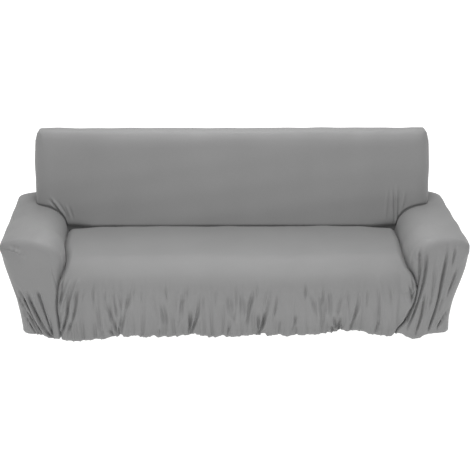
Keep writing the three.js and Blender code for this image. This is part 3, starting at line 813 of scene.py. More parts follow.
@dataclass(frozen=True)
class Drift:
    """The slow unevenness of stretched cloth, as a sum of long waves."""

    seed: int = 5
    waves: int = 7
    size: float = 1.4
    shortest: float = 110.0
    longest: float = 420.0

    def height(self, points: Array) -> Array:
        """How far each point stands out or sinks in.

        Args:
            points: Places of the points.

        Returns:
            The push at each point.
        """
        draw = np.random.default_rng(self.seed)
        total = np.zeros(len(points))
        for _ in range(self.waves):
            way = draw.normal(size=3)
            way /= np.linalg.norm(way)
            length = draw.uniform(self.shortest, self.longest)
            phase = draw.uniform(0.0, 2.0 * math.pi)
            total += np.sin(points @ way * (2.0 * math.pi / length) + phase)
        return total * self.size / math.sqrt(self.waves)


def topped(grid: Array, above: Array, *more: Array) -> tuple[Array, Array]:
    """Adds rows to a grid, which the hem's crinkles don't reach.

    Args:
        grid: Rows, columns and the three coordinates.
        above: Height of each of its points above the hem.
        more: The further rows.

    Returns:
        The whole grid and its heights above the hem.
    """
    whole = np.concatenate([grid, *more])
    far = np.full((len(whole) - len(grid), whole.shape[1]), FAR)
    return whole, np.concatenate([above, far])


def into_frame(points: Array) -> Array:
    """Moves places from the sofa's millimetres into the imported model's metres.

    Args:
        points: Places of one or more points.

    Returns:
        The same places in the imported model's frame.
    """
    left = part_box("arm_left")
    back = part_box("inside_back")
    shift = [
        (back[0][0] + back[1][0]) / 2,
        left[1][1] - ArmForm.rear * MM,
        left[1][2] - ArmForm.top * MM,
    ]
    return np.asarray(points) * MM + np.array(shift)


class Piece:
    """What every cut piece of the cover shares.

    node is the solid that it takes the place of. flat and area are its size in metres and its area
    in square metres before it is stretched over the sofa.
    """

    name: str
    node: str
    flat: tuple[float, float]
    area: float
    held: Held = Held.STRETCHED

    def build(self) -> bpy.types.Object:
        """Lays out and welds the piece."""
        raise NotImplementedError

    def finish(self, jersey: "Jersey") -> bpy.types.Object:
        """Args:
            jersey: The cloth that the piece is cut from.

        Returns:
            The finished piece.
        """
        piece = self.build()
        piece.data.materials.append(jersey.material())
        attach(piece, "root")
        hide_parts(self.node)
        LOG.info("%s: %d faces", piece.name, len(piece.data.polygons))
        return piece


# ---------------------------------------------------------------- the five pieces
APRON_FOLDS = (
    Fold(((345, -800), (285, -800)), 3, -12, (325, 300), 0.3),
    Fold(((290, -795), (215, -810)), 4, -12, (270, 225), 0.4),
    Fold(((335, -765), (265, -785), (190, -810)), 6, 13, (310, 215)),
    Fold(((275, -765), (170, -780), (95, -800), (60, -815)), 4.5, -17, (190, 90), 0.6),
    Fold(((345, -725), (275, -745), (205, -765)), 6, 10, (325, 260), 0.4),
    Fold(((300, -730), (200, -740), (125, -760), (60, -785)), 4.5, -12, (240, 110)),
    Fold(((190, -800), (110, -810), (50, -825)), 5, 8, (160, 80), 0.7),
    Fold(((290, -695), (240, -710)), 4.5, -4.5, (270, 260)),
    Fold(((325, -655), (200, -655)), 4, -6, (285, 240), 0.4),
    Fold(((235, -640), (100, -630), (45, -610)), 8.5, -8.5, (170, 100), 0.6),
    Fold(((290, -600), (245, -600)), 4, -4.5, (275, 260)),
    Fold(((290, -615), (185, -585), (65, -550)), 6.5, -13, (130, 75), 0.8),
    Fold(((315, -565), (155, -550)), 4.5, -7, (250, 190), 0.4),
    Fold(((300, -540), (150, -535)), 6, 7, (240, 180), 0.4),
    Fold(((80, -590), (50, -570)), 3, -11, (65, 50), 1.0),
    Fold(((105, -545), (50, -540)), 3, -15, (75, 55), 1.0),
    Fold(((290, -535), (165, -525), (60, -540)), 7.5, -8.5, (200, 80), 0.8),
    Fold(((310, -475), (145, -515), (75, -530)), 7, -12, (215, 110)),
    Fold(((300, -465), (250, -465)), 3, -5, (280, 265)),
    Fold(((290, -380), (165, -365)), 6.5, -5, (240, 190), 0.4),
    Fold(((300, -430), (215, -430)), 4, -4.5, (265, 240), 0.4),
    Fold(((90, -350), (60, -350)), 3, -9, (75, 65), 0.8),
    Fold(((320, -320), (235, -310)), 3.5, -7, (285, 255), 0.4),
    Fold(((270, -350), (150, -325), (90, -315)), 8.5, -8.5, (215, 140), 0.2),
    Fold(((295, -280), (110, -265)), 8.5, -5.5, (230, 140), 0.3),
    Fold(((300, -225), (200, -245), (85, -260)), 7, -12, (210, 130), 0.3),
    Fold(((300, -215), (250, -215)), 3, -6, (280, 265)),
    Fold(((180, -200), (70, -205)), 4.5, -15, (120, 70), 0.8),
    Fold(((90, -210), (60, -210)), 3, -11, (80, 65), 1.0),
    Fold(((260, -155), (150, -170), (55, -200)), 4.5, -16, (115, 60), 0.9),
    Fold(((265, -140), (200, -140)), 4, -5, (240, 225)),
    Fold(((295, -80), (205, -85)), 4.5, -4.5, (270, 230)),
    Fold(((220, -65), (150, -60)), 9.5, -3, (200, 170)),
    Fold(((85, -20), (60, -25)), 3, -9, (75, 65), 0.8),
    Fold(((320, 10), (235, 15), (140, 5)), 4, -6, (280, 220), 0.4),
    Fold(((290, 30), (125, 30)), 6, 7, (235, 170), 0.4),
    Fold(((280, -30), (170, -5), (100, 10)), 8.5, -8.5, (220, 140), 0.2),
    Fold(((290, 30), (160, 55), (105, 65)), 8.5, -6.5, (220, 130), 0.4),
    Fold(((300, 100), (180, 75), (70, 65)), 5.5, -15, (220, 150), 0.3),
    Fold(((315, 110), (245, 110)), 4, -7.5, (290, 260), 0.4),
    Fold(((175, 120), (65, 120)), 4.5, -15, (120, 70), 0.8),
    Fold(((260, 175), (160, 155), (100, 140), (60, 125)), 4.5, -16, (120, 60), 0.9),
    Fold(((280, 210), (190, 200), (140, 190)), 4.5, -7, (235, 190)),
    Fold(((300, 170), (185, 150)), 5, 7, (265, 220), 0.4),
    Fold(((125, 220), (80, 220)), 4.5, -6, (110, 90), 0.8),
    Fold(((275, 265), (105, 265)), 13, -3, (240, 150)),
    Fold(((160, 300), (80, 285)), 4.5, -9, (120, 85), 0.7),
    Fold(((315, 340), (240, 340)), 3.5, -9, (290, 265), 0.4),
    Fold(((280, 360), (195, 385), (135, 400)), 6, -8, (225, 160), 0.4),
    Fold(((290, 440), (130, 445)), 6, 7, (240, 180), 0.4),
    Fold(((300, 395), (200, 420), (60, 425)), 8.5, -8.5, (225, 140)),
    Fold(((305, 425), (215, 420)), 3.5, -8, (275, 240), 0.4),
    Fold(((305, 450), (115, 465)), 5.5, -7, (250, 170), 0.4),
    Fold(((300, 520), (200, 500), (150, 495)), 7, -11, (225, 170), 0.2),
    Fold(((295, 535), (160, 550)), 4.5, -7, (250, 210), 0.4),
    Fold(((150, 475), (80, 490)), 4, -11, (115, 90), 0.8),
    Fold(((145, 510), (80, 500)), 4, -12, (110, 85), 1.0),
    Fold(((100, 460), (70, 475)), 3, -9, (85, 75), 1.0),
    Fold(((100, 520), (75, 510)), 3, -9, (90, 80), 1.0),
    Fold(((285, 595), (195, 585), (80, 560)), 4.5, -13, (160, 100), 0.6),
    Fold(((285, 630), (190, 630)), 3, -5, (260, 220)),
    Fold(((235, 690), (90, 695)), 12.5, -5.5, (200, 120), 0.6),
    Fold(((120, 690), (65, 680)), 3.5, -9.5, (95, 70), 0.8),
    Fold(((310, 735), (215, 745)), 4, -6, (280, 245), 0.4),
    Fold(((300, 680), (195, 690), (115, 690)), 5, -6, (250, 170), 0.4),
    Fold(((295, 805), (235, 810)), 7, -3.5, (270, 250)),
    Fold(((300, 810), (195, 840)), 5, 10, (275, 225)),
    Fold(((300, 830), (230, 840)), 3.5, -14, (285, 240)),
    Fold(((345, 845), (300, 845)), 3, -11, (330, 305), 0.4),
    Fold(((280, 850), (245, 840)), 3, -12, (270, 250), 0.4),
)


@dataclass(frozen=True)
class SeatCover(Piece):
    """The seat deck and the apron in one piece, over the front roll and down to the hem.

    insets holds the distances of the outermost columns from their side seam, turned_in the depths
    of those that are turned in there, and tucked, for each row behind the crease, its part of
    tuck_reach sideways, its way back and its way down.
    """

    name: str = "seat_cover"
    node: str = "seat_front"
    flat: tuple[float, float] = (1.66, 0.86)
    area: float = 1.38
    folds: tuple[Fold, ...] = APRON_FOLDS
    crease_top: float = 400.0
    crease_fade: float = 60.0
    column_count: int = 712
    apron_row: float = 9.0
    roll_row: float = 20.0
    deck_row: float = 40.0
    corner_from: float = 640.0
    corner_fade: float = 150.0
    corner_drop: float = 20.0
    corner_reach: float = 80.0
    insets: tuple[float, ...] = (0.0, 0.35, 0.9, 1.8, 3.2, 5.0, 7.4, 10.4, 14.0)
    turned_in: tuple[float, ...] = (9.0, 4.0)
    crease_turn: float = 7.0
    tuck_reach: float = 34.0
    tucked: tuple[tuple[float, float, float], ...] = (
        (0.0, 0.0, 12.0), (0.0, 0.0, 26.0), (1.0, 0.0, 44.0), (1.0, 54.0, 48.0),
    )
    ruffles: Ruffles = Ruffles(
        seed=3, gathers=(-555.0, -455.0, -195.0, -120.0, 135.0, 205.0, 495.0, 690.0, 790.0)
    )
    pleats: Ruffles = Ruffles(
        seed=14, calm=1.0, closest=13.0, widest=38.0, reach=(240.0, 400.0), width=(5.0, 9.0),
        rise=(3.5, 10.0), lean=0.1,
    )
    calm_edge: float = 26.0
    past_reach: float = 70.0

    def columns(self, left: Array, right: Array) -> tuple[Array, Array]:
        """Sideways places of every column, and how far each is turned in along its seam.

        Args:
            left: Left edge of each row.
            right: Right edge of each row.

        Returns:
            x of each point, and the depth of the turned-in edge.
        """
        insets = np.array(self.insets)
        middle = np.linspace(0.0, 1.0, self.column_count + 1)[1:-1]
        flap = np.zeros(len(self.turned_in))
        near = np.concatenate([flap, insets])
        x = np.concatenate(
            [left + near, mix(left + insets[-1], right - insets[-1], middle), right - near[::-1]],
            axis=1,
        )
        turned = np.concatenate([np.array(self.turned_in), np.zeros(len(insets))])
        drop = np.concatenate([turned, 0.0 * middle, turned[::-1]])
        return x, np.broadcast_to(drop, x.shape)

    def runs(self) -> Array:
        """Runs of the rows above the apron.

        Returns:
            A column of runs, from the foot of the roll to the crease.
        """
        start = SEAT.roll_foot
        deck = start + SEAT.roll_run
        last = float(SEAT.run_at(SEAT.crease - SEAT.crease_round))
        steepest = math.asin(1.0 - SEAM / SEAT.crease_round)
        rounding = np.sin(between(0.0, steepest, math.radians(self.crease_turn)))[1:]
        roll = between(start, deck, self.roll_row)[:-1]
        flat = between(deck, last, self.deck_row)
        return np.concatenate([roll, flat, last + SEAT.crease_round * rounding])[:, None]

    def inside(self, x: Array) -> Array:
        """Distance from the nearer side seam, in widths of the calm strip along it."""
        return np.minimum(x - x[:, :1], x[:, -1:] - x) / self.calm_edge

    def lay(self, x: Array, run: Array, turned_in: Array) -> Array:
        """Points of the cloth on the seat.

        Args:
            x: Sideways places.
            run: Runs up the seat's section.
            turned_in: Extra depth along the seams.

        Returns:
            Rows, columns and the three coordinates.
        """
        run = np.broadcast_to(run, x.shape)
        y, z, face_y, face_z = SEAT.section(run, front_hem(x))
        push = creased(self.folds, x, run) * ease((self.crease_top - run) / self.crease_fade)
        push = push + self.pleats.height(x, run - front_hem(x)) * ease(self.inside(x))
        corner = ease((np.abs(x) - self.corner_from) / self.corner_fade)
        sunk = self.corner_drop * corner * quarter(1.0 - (SEAT.crease - y) / self.corner_reach)
        out = push - SEAT.side_sink(x, run) - turned_in - sunk
        return np.stack([x, y + face_y * out, z + face_z * out], axis=2)

    def build(self) -> bpy.types.Object:
        """Lays out and welds the piece.

        Returns:
            The piece, still without its material.
        """
        part = between(0.0, 1.0, self.apron_row / SEAT.roll_foot)[:-1, None]
        left, _ = SEAT.seam_place(left_seam, part)
        right, _ = SEAT.seam_place(right_seam, part)
        x, turned_in = self.columns(left + SEAM / 2, right - SEAM / 2)
        run = mix(front_hem(x), SEAT.roll_foot, part)
        apron = self.lay(x, run, turned_in)
        above = run - front_hem(x) + self.past_reach * ease(1.0 - self.inside(x))
        runs = self.runs()
        x, turned_in = self.columns(left_seam(runs) + SEAM / 2, right_seam(runs) - SEAM / 2)
        deck = self.lay(x, runs, turned_in)
        aside = np.zeros_like(deck[-1])
        aside[[0, -1], 0] = -self.tuck_reach, self.tuck_reach
        tuck = np.stack([deck[-1] + aside * out + [0.0, back, -low] for out, back, low in self.tucked])
        sheet = Sheet(self.name)
        sheet.add(*topped(apron, above, deck, tuck))
        return sheet.mesh(self.ruffles, Drift())


LEFT_ARM_FOLDS = (
    Fold(((330, -1035), (215, -990), (155, -960), (60, -920)), 4.5, -16, (250, 130)),
    Fold(((315, -1015), (240, -980), (110, -930), (55, -905)), 4.5, -17.5, (250, 90)),
    Fold(((195, -990), (100, -955), (60, -935)), 3.5, -12.5, (180, 110)),
    Fold(((275, -965), (180, -935), (95, -900), (40, -865)), 5.5, -18.5, (220, 140)),
    Fold(((215, -925), (150, -910), (100, -890)), 10.5, -5, (180, 140)),
    Fold(((280, -915), (205, -895), (100, -870), (60, -860)), 3.5, -16, (260, 80), 0.8),
    Fold(((135, -865), (40, -855)), 3, -11, (105, 45), 1.0),
    Fold(((65, -885), (40, -860)), 3, -8.5, (60, 45), 1.0),
    Fold(((490, -1045), (480, -1010), (455, -965)), 6, 19, (485, 465), 0.4),
    Fold(((505, -1035), (490, -995)), 4, -5, (500, 493), 0.4),
)
RIGHT_ARM_FOLDS = (
    Fold(((500, 870), (365, 870), (240, 855), (130, 825)), 4.5, -21, (455, 240), 0.6),
    Fold(((490, 905), (360, 895), (250, 875), (85, 830)), 4, -13, (390, 180)),
    Fold(((265, 900), (155, 890), (55, 870)), 3.5, -15, (215, 90)),
    Fold(((440, 945), (305, 940), (165, 920)), 5.5, -8, (350, 220), 0.3),
    Fold(((495, 1000), (355, 980), (210, 960), (80, 930)), 4.5, -16, (400, 110), 0.6),
    Fold(((500, 1035), (400, 1020)), 4, -9, (465, 430), 0.3),
    Fold(((400, 1050), (300, 1020), (255, 1005)), 4, -10, (350, 290), 0.3),
    Fold(((190, 1015), (90, 970)), 4, -13, (155, 100)),
    Fold(((280, 920), (160, 905)), 5, -5, (240, 190), 0.3),
    Fold(((260, 990), (165, 965)), 5, -5, (230, 190), 0.3),
    Fold(((470, 885), (340, 880)), 4.5, 4, (430, 380), 0.3),
    Fold(((460, 850), (365, 855)), 3, -12.5, (440, 385), 0.7),
    Fold(((450, 840), (400, 825)), 4.5, -7, (430, 415), 0.4),
    Fold(((365, 845), (310, 860)), 3, -10, (350, 325)),
)


@dataclass(frozen=True)
class ArmCover(Piece):
    """One arm's cloth: inner wall, arched top, outer wall, front and the strip behind.

    wall, arch, corner, inner_quarter and inner_wall count a section's columns from the outer hem
    over the top to the inner foot. Each row of flap and rear_flap holds how far the cloth reaches
    under the next piece, and how deep. deck_depths are the depths of flap beside the deck.
    low_turn holds the angle of the front roll from which its inner edge runs down to the apron,
    and over how many degrees.
    """

    name: str
    node: str
    form: ArmForm
    folds: tuple[Fold, ...]
    ruffles: Ruffles
    flat: tuple[float, float] = (0.92, 0.86)
    area: float = 0.72
    wall: int = 90
    arch: int = 40
    spacing: float = 0.6
    corner: int = 30
    inner_quarter: int = 56
    lean_height: float = 100.0
    inner_wall: int = 10
    front_turns: int = 9
    station: float = 11.5
    near_back: tuple[float, ...] = (8.0, 5.0, 2.5)
    rear_turns: int = 8
    turned_in: tuple[tuple[float, float], ...] = ((0.0, 4.0), (0.0, 9.0), (0.0, 18.0), (20.0, 22.0))
    valley_width: float = 12.0
    flap: tuple[tuple[float, float], ...] = ((0.0, 16.0), (12.0, 18.0))
    deck_depths: tuple[float, ...] = (4.0, 7.0)
    flap_rows: int = 6
    low_turn: tuple[float, float] = (60.0, 30.0)
    rear_flap: tuple[tuple[float, float], ...] = ((12.0, 10.0), (0.0, 8.0))
    dip: float = 10.0
    dip_width: float = 14.0

    @property
    def seam_reach(self) -> float:
        """Reach of the arm's top edge beside the backrest."""
        return BACK.seam_half + SEAM

    @property
    def beside(self) -> int:
        """Column of the line beside the backrest."""
        return self.wall + self.arch - 1

    def seam_depth(self, turn: Array | float, z: Array | float) -> Array:
        """Depth of the seam with the backrest at an angle round its corner."""
        centre = BACK.face(SEAT, 0.0, z) + BACK.corner_round
        return centre - (BACK.corner_round + SEAM) * np.cos(turn)

    def outer_line(self, depth: Callable[[Array], Array], rows: int) -> Line:
        """Outer wall and outer quarter of the arch, up to the line beside the backrest.

        Args:
            depth: Depth of every section at each height.
            rows: Number of sections.

        Returns:
            The sections.
        """
        form = self.form
        blank = np.zeros((rows, 1))
        low = depth(form.outer_foot + blank)
        up = np.linspace(0.0, 1.0, self.wall, endpoint=False)[None, :]
        z = mix(side_hem(low), form.outer_foot, up)
        y = depth(z)
        taper = form.taper(z + form.taper_lift)
        taper = taper * mix(1.0, form.rear_taper, np.clip(y / form.rear, 0.0, 1.0))
        lean = math.pi / 4 * ease(1.0 - (form.outer_foot - z) / self.lean_height)
        wall = Line(form.outer(y) - taper, y, z, np.cos(lean), np.sin(lean))
        top = depth(form.top + blank)
        outer, width = form.outer(top), form.outer_width(top)
        last = np.arccos(1.0 - (outer - self.seam_reach) / width)
        up = np.linspace(0.0, 1.0, self.arch)[None, :] ** self.spacing
        reach = outer - width * (1.0 - np.cos(last * up))
        z = form.outer_foot + (form.top - form.outer_foot) * np.sin(last * up)
        facing = np.broadcast_to(mix(math.pi / 4, math.pi / 2, up**2), z.shape)
        return wall.joined(Line(reach, top + 0 * z, z, np.cos(facing), np.sin(facing)))

    def inner_line(self, foot: Line, run: Array) -> Line:
        """The inner wall below the arch, down to its tuck behind the seat's edge.

        Args:
            foot: The arch's last column.
            run: Run of the seat's section at each low point.

        Returns:
            The sections.
        """
        y, z, face_y, face_z = SEAT.section(run)
        drop = SEAT.edge_drop(run)
        tuck = self.form.inner_tuck * SEAT.upper(run)
        low_reach = self.form.seam_reach(run) + SEAM / 2
        low_y, low_z = y - face_y * drop, z - face_z * drop - tuck
        down = np.linspace(0.0, 1.0, self.inner_wall + 1)[None, 1:]
        reach = mix(foot.reach, low_reach, ease(down))
        return Line(
            reach, mix(foot.y, low_y, down), mix(foot.z, low_z, down), 0 * reach - 1, 0 * reach
        )

    def arch_line(self, part: Array) -> Line:
        """Sections from the outer hem over the arch to the inner foot.

        Args:
            part: A column of places from 0, behind the front roll, to 1, at the backrest.

        Returns:
            The sections.
        """
        form = self.form

        def depth(z: Array, turn: Array | float = 0.0) -> Array:
            """Depth of each section where the seam has turned by an angle."""
            return mix(form.face_y(SEAT, z) + form.front_roll, self.seam_depth(turn, z), part)

        def outside(z: Array) -> Array:
            """Depth of each section's outer wall."""
            end = self.seam_depth(math.pi / 2, form.top)
            return mix(form.face_y(SEAT, z) + form.front_roll, end, part)

        line = self.outer_line(outside, len(part))
        turn = np.linspace(math.pi / 2, 0.0, self.corner + 1)[None, 1:]
        reach = BACK.corner_start + (BACK.corner_round + SEAM) * np.sin(turn) + 0 * part
        y = depth(form.top, turn)
        corner = Line(reach, y, form.arch(SEAT, reach, y), 0 * reach, 0 * reach + 1)
        inner = form.inner(SEAT, depth(form.inner_foot))
        start = np.arccos(1.0 - (BACK.corner_start - inner) / form.inner_width)
        down = np.linspace(1.0, 0.0, self.inner_quarter + 1)[None, 1:] ** self.spacing
        c, s = np.cos(start * down), np.sin(start * down)
        z = form.inner_foot + (form.top - form.inner_foot) * s
        reach = inner + SEAM / 2 + (form.inner_width - SEAM / 2) * (1.0 - c)
        facing = np.broadcast_to(down * math.pi / 2, z.shape)
        inside = Line(reach, depth(z), z, -np.cos(facing), np.sin(facing))
        return line.joined(corner).joined(inside)

    def turned(
        self,
        line: Line,
        angle: Array,
        radius: float,
        depth: Callable[[Array, Array, Array, Array], Array],
    ) -> Line:
        """A section turned inwards round the front or rear roll.

        Args:
            line: One section.
            angle: A column of angles.
            radius: Radius of the roll.
            depth: Depth of a point from its old depth, its height, the angle's sine and its reach.

        Returns:
            One section for each angle.
        """
        inward = radius * (1.0 - np.cos(angle))
        reach = line.reach - line.out * inward
        z = line.z - line.up * inward
        y = depth(line.y, z, np.sin(angle), reach)
        return Line(reach, y, z, line.out + 0 * z, line.up + 0 * z)

    def front_line(self) -> tuple[Line, Array]:
        """Sections round the front roll, from the front face backwards.

        Returns:
            The sections, and the run of the seat's section at the foot of each.
        """
        form = self.form
        angle = np.linspace(math.pi / 2, 0.0, self.front_turns + 1)[:-1, None]

        def depth(y: Array, z: Array, s: Array, reach: Array) -> Array:
            """Depth of the roll, with the front's creases running out on it."""
            crease = creased(self.folds, form.side * reach, z) * s**2
            return mix(y, form.face_y(SEAT, z), s) - crease

        above = self.turned(self.arch_line(np.zeros((1, 1))), angle, form.front_roll, depth)
        foot = above.cut(LAST)
        start, fade = self.low_turn
        low = ease((np.degrees(angle) - start) / fade)
        run = mix(SEAT.run_at(foot.y), SEAT.roll_foot, low)
        return above.joined(self.inner_line(foot, run)), run

    def under_seat(self, edge: Array, run: Array) -> Array:
        """The cloth that runs on behind the seat piece's side edge.

        Args:
            edge: The inner wall's lower edge, one point in each section.
            run: Run of the seat's section at each point.

        Returns:
            Rows, columns and the three coordinates.
        """
        _, _, face_y, face_z = SEAT.section(run)
        inward = -np.stack([0.0 * face_y, face_y + 0.0 * run, face_z + 0.0 * run], axis=2)
        columns = [edge]
        for (under, low), high in zip(self.flap, self.deck_depths):
            depth = mix(low, high, SEAT.upper(run))[:, :, None]
            columns.append(edge + [-self.form.side * under, 0.0, 0.0] + inward * depth)
        return np.concatenate(columns, axis=1)

    def behind_back(self, edge: Array) -> Array:
        """The cloth that is tucked down and runs on below the back piece's lower edge.

        Args:
            edge: The arm's last section, from the line beside the backrest inwards.

        Returns:
            Rows, columns and the three coordinates.
        """
        turn = np.zeros(edge.shape[1])
        turn[: self.corner + 1] = np.linspace(math.pi / 2, 0.0, self.corner + 1)
        away = np.stack([-self.form.side * np.sin(turn), np.cos(turn), 0.0 * turn], axis=1)
        rows = [edge - [0.0, 0.0, depth] + away[None] * back for back, depth in self.turned_in]
        return np.concatenate([edge, *rows])

    def dipped(self, line: Line, part: Array) -> Line:
        """Sinks the top a little along its seam with the backrest.

        Args:
            line: Sections over the arch.
            part: A column of their places from 0, behind the front roll, to 1, at the backrest.

        Returns:
            The sections with their sunk top.
        """
        columns = np.arange(line.z.shape[1])[None, :]
        weight = ease((columns - self.beside) / self.corner)
        gone = (1.0 - part) * (self.seam_depth(0.0, self.form.top) - self.form.front_roll)
        sink = self.dip * quarter(1.0 - gone / self.dip_width) * weight
        return Line(line.reach - line.out * sink, line.y, line.z - line.up * sink, line.out, line.up)

    def place(self, line: Line) -> Array:
        """Points of a line, on this arm's own side."""
        return np.stack([self.form.side * line.reach, line.y, line.z], axis=2)

    def face(self, edge: Line) -> tuple[Array, Array]:
        """The front face, row by row from the hem to the arch.

        Args:
            edge: The roll's section on the front face.

        Returns:
            Its points and their heights above the hem.
        """
        form = self.form
        arch = edge.cut(slice(self.wall, -self.inner_wall))
        inner = edge.cut(slice(-self.inner_wall, None))
        rows = self.wall - self.inner_wall
        up = np.linspace(0.0, 1.0, rows, endpoint=False)
        seam_x, seam_z = SEAT.seam_place(form.seam, up)
        seam_y = form.face_y(SEAT, seam_z) + SEAT.seam_drop
        end_reach = np.concatenate([form.side * seam_x + SEAM / 2, inner.reach[0, ::-1]])[:, None]
        end_y = np.concatenate([seam_y, inner.y[0, ::-1]])[:, None]
        end_z = np.concatenate([seam_z, inner.z[0, ::-1]])[:, None]
        start = edge.start(self.wall)
        inwards = np.minimum.accumulate(arch.reach[0])
        across = (inwards - inwards[0]) / (inwards[-1] - inwards[0])
        reach = mix(start[0], end_reach, across)
        height = (np.arange(self.wall) / self.wall)[:, None]

        def blend(at: Array) -> Array:
            """Height of each row between the hem's line and the arch."""
            over = np.interp(at, inwards[::-1], arch.z[0, ::-1])
            return mix(front_hem(form.side * at), over, height)

        miss = mix(start[2] - blend(start[0]), end_z - blend(end_reach), across)
        z = blend(reach) + miss
        deep = end_y - form.face_y(SEAT, end_z)
        valley = deep * quarter(1.0 - (reach - end_reach) / self.valley_width)
        y = form.face_y(SEAT, z) + valley - creased(self.folds, form.side * reach, z)
        y[:, :1] = start[1]
        y[:, -1:] = end_y
        points = np.stack([form.side * reach, y, z], axis=2)
        above = z - front_hem(form.side * reach)
        return topped(points, above, self.place(arch))

    def behind(self, edge: Line) -> tuple[Array, Array]:
        """The strip beside the rear panel, row by row from the hem up.

        Args:
            edge: The rear roll's last section.

        Returns:
            Its points and their heights above the hem.
        """
        arch = edge.cut(slice(self.wall, None))
        last = arch.reach[0, -1]
        across = (1.0 - (arch.reach[0] - last) / (arch.reach[0, 0] - last))[::-1]
        start = edge.start(self.wall)
        up = (np.arange(self.wall) / self.wall)[:, None]
        low = float(rear_hem(self.seam_reach))
        z = mix(low, float(edge.z[0, -1]), up)
        outward = 1.0 - across
        points = np.stack(
            [
                self.form.side * mix(self.seam_reach, start[0], outward),
                start[1] + 0 * outward,
                mix(z, start[2], outward),
            ],
            axis=2,
        )
        return topped(points, points[:, :, 2] - low, self.place(arch)[:, ::-1])

    def above_hem(self, points: Array) -> Array:
        """Heights above the side hem of the outer wall's columns, and FAR for the others."""
        on_wall = np.arange(points.shape[1]) < self.wall
        return np.where(on_wall, points[:, :, 2] - side_hem(points[:, :, 1]), FAR)

    def rear_line(self) -> Line:
        """Sections beside and behind the backrest's end.

        Returns:
            The sections, of which the last go round the rear roll.
        """
        form = self.form
        start = float(self.seam_depth(math.pi / 2, form.top))
        places = between(start, form.rear - form.rear_roll, self.station)[:, None]
        angle = np.linspace(0.0, math.pi / 2, self.rear_turns + 1)[1:, None]

        def plumb(z: Array) -> Array:
            """Depth of each section, the same at every height."""
            return places + 0 * z

        def depth(y: Array, z: Array, s: Array, reach: Array) -> Array:
            """Depth of the roll."""
            return y + form.rear_roll * s + 0 * z

        line = self.outer_line(plumb, len(places))
        return line.then(self.turned(line.rows(LAST), angle, form.rear_roll, depth))

    def top_line(self) -> tuple[Line, Array]:
        """Sections from behind the front roll to the backrest.

        Returns:
            The sections, and the run of the seat's section at the foot of each.
        """
        length = float(self.seam_depth(0.0, self.form.top)) - self.form.front_roll
        even = between(0.0, 1.0, self.station / length)[:, None]
        near = 1.0 - np.array(self.near_back)[:, None] / length
        part = np.sort(np.concatenate([even, near]), axis=0)
        line = self.arch_line(part)
        foot = line.cut(LAST)
        run = SEAT.run_at(foot.y)
        return self.dipped(line.joined(self.inner_line(foot, run)), part), run

    def add_front(self, sheet: Sheet, edge: Line) -> None:
        """Adds the front face and its flap behind the apron's side edge.

        Args:
            sheet: The cloth so far.
            edge: The front roll's section on the front face.
        """
        face, above = self.face(edge)
        sheet.add(face, above)
        seam = face[: self.wall - self.inner_wall + self.flap_rows, -1:]
        flaps = [seam + [-self.form.side * under, depth, 0.0] for under, depth in self.flap]
        sheet.add(np.concatenate([seam, *flaps], axis=1))

    def add_rear(self, sheet: Sheet) -> None:
        """Adds the rear end, and the strip behind it with its flap behind the rear panel.

        Args:
            sheet: The cloth so far.
        """
        line = self.rear_line()
        points = self.place(line)
        sheet.add(points, self.above_hem(points))
        strip, above = self.behind(line.rows(LAST))
        sheet.add(strip, above)
        edge = strip[1:, :1]
        flaps = [edge + [-self.form.side * under, -depth, 0.0] for under, depth in self.rear_flap]
        sheet.add(np.concatenate([*flaps, edge], axis=1))

    def build(self) -> bpy.types.Object:
        """Lays out and welds the piece.

        Returns:
            The piece, still without its material.
        """
        sheet = Sheet(self.name, flip=self.form.side > 0)
        front, front_run = self.front_line()
        top, top_run = self.top_line()
        points = self.place(front.then(top))
        sheet.add(points, self.above_hem(points))
        sheet.add(self.behind_back(points[-1:, self.beside :]))
        sheet.add(self.under_seat(points[:, -1:], np.concatenate([front_run, top_run])))
        self.add_front(sheet, front.rows(slice(0, 1)))
        self.add_rear(sheet)
        return sheet.mesh(self.ruffles, Drift())


BACK_FOLDS = (
    Fold(((565, -920), (485, -860)), 5, 7, (540, 500)),
    Fold(((555, -930), (495, -880)), 4, -5, (540, 510)),
    Fold(((550, -890), (480, -845)), 4, -3, (530, 490)),
    Fold(((530, -845), (470, -825)), 4.5, 4, (505, 480)),
    Fold(((520, -830), (465, -810)), 4, -4, (500, 475)),
    Fold(((610, 790), (470, 780)), 5, 3.5, (560, 490)),
    Fold(((605, 810), (460, 815)), 5, 6, (555, 480), 0.6),
    Fold(((595, 825), (450, 825)), 4, -3.5, (530, 470), 0.7),
    Fold(((610, 835), (460, 835)), 5, 8, (560, 490), 0.6),
    Fold(((590, 850), (470, 845)), 4, -3.5, (530, 490), 0.6),
    Fold(((600, 880), (510, 865)), 5, 4, (565, 530)),
)


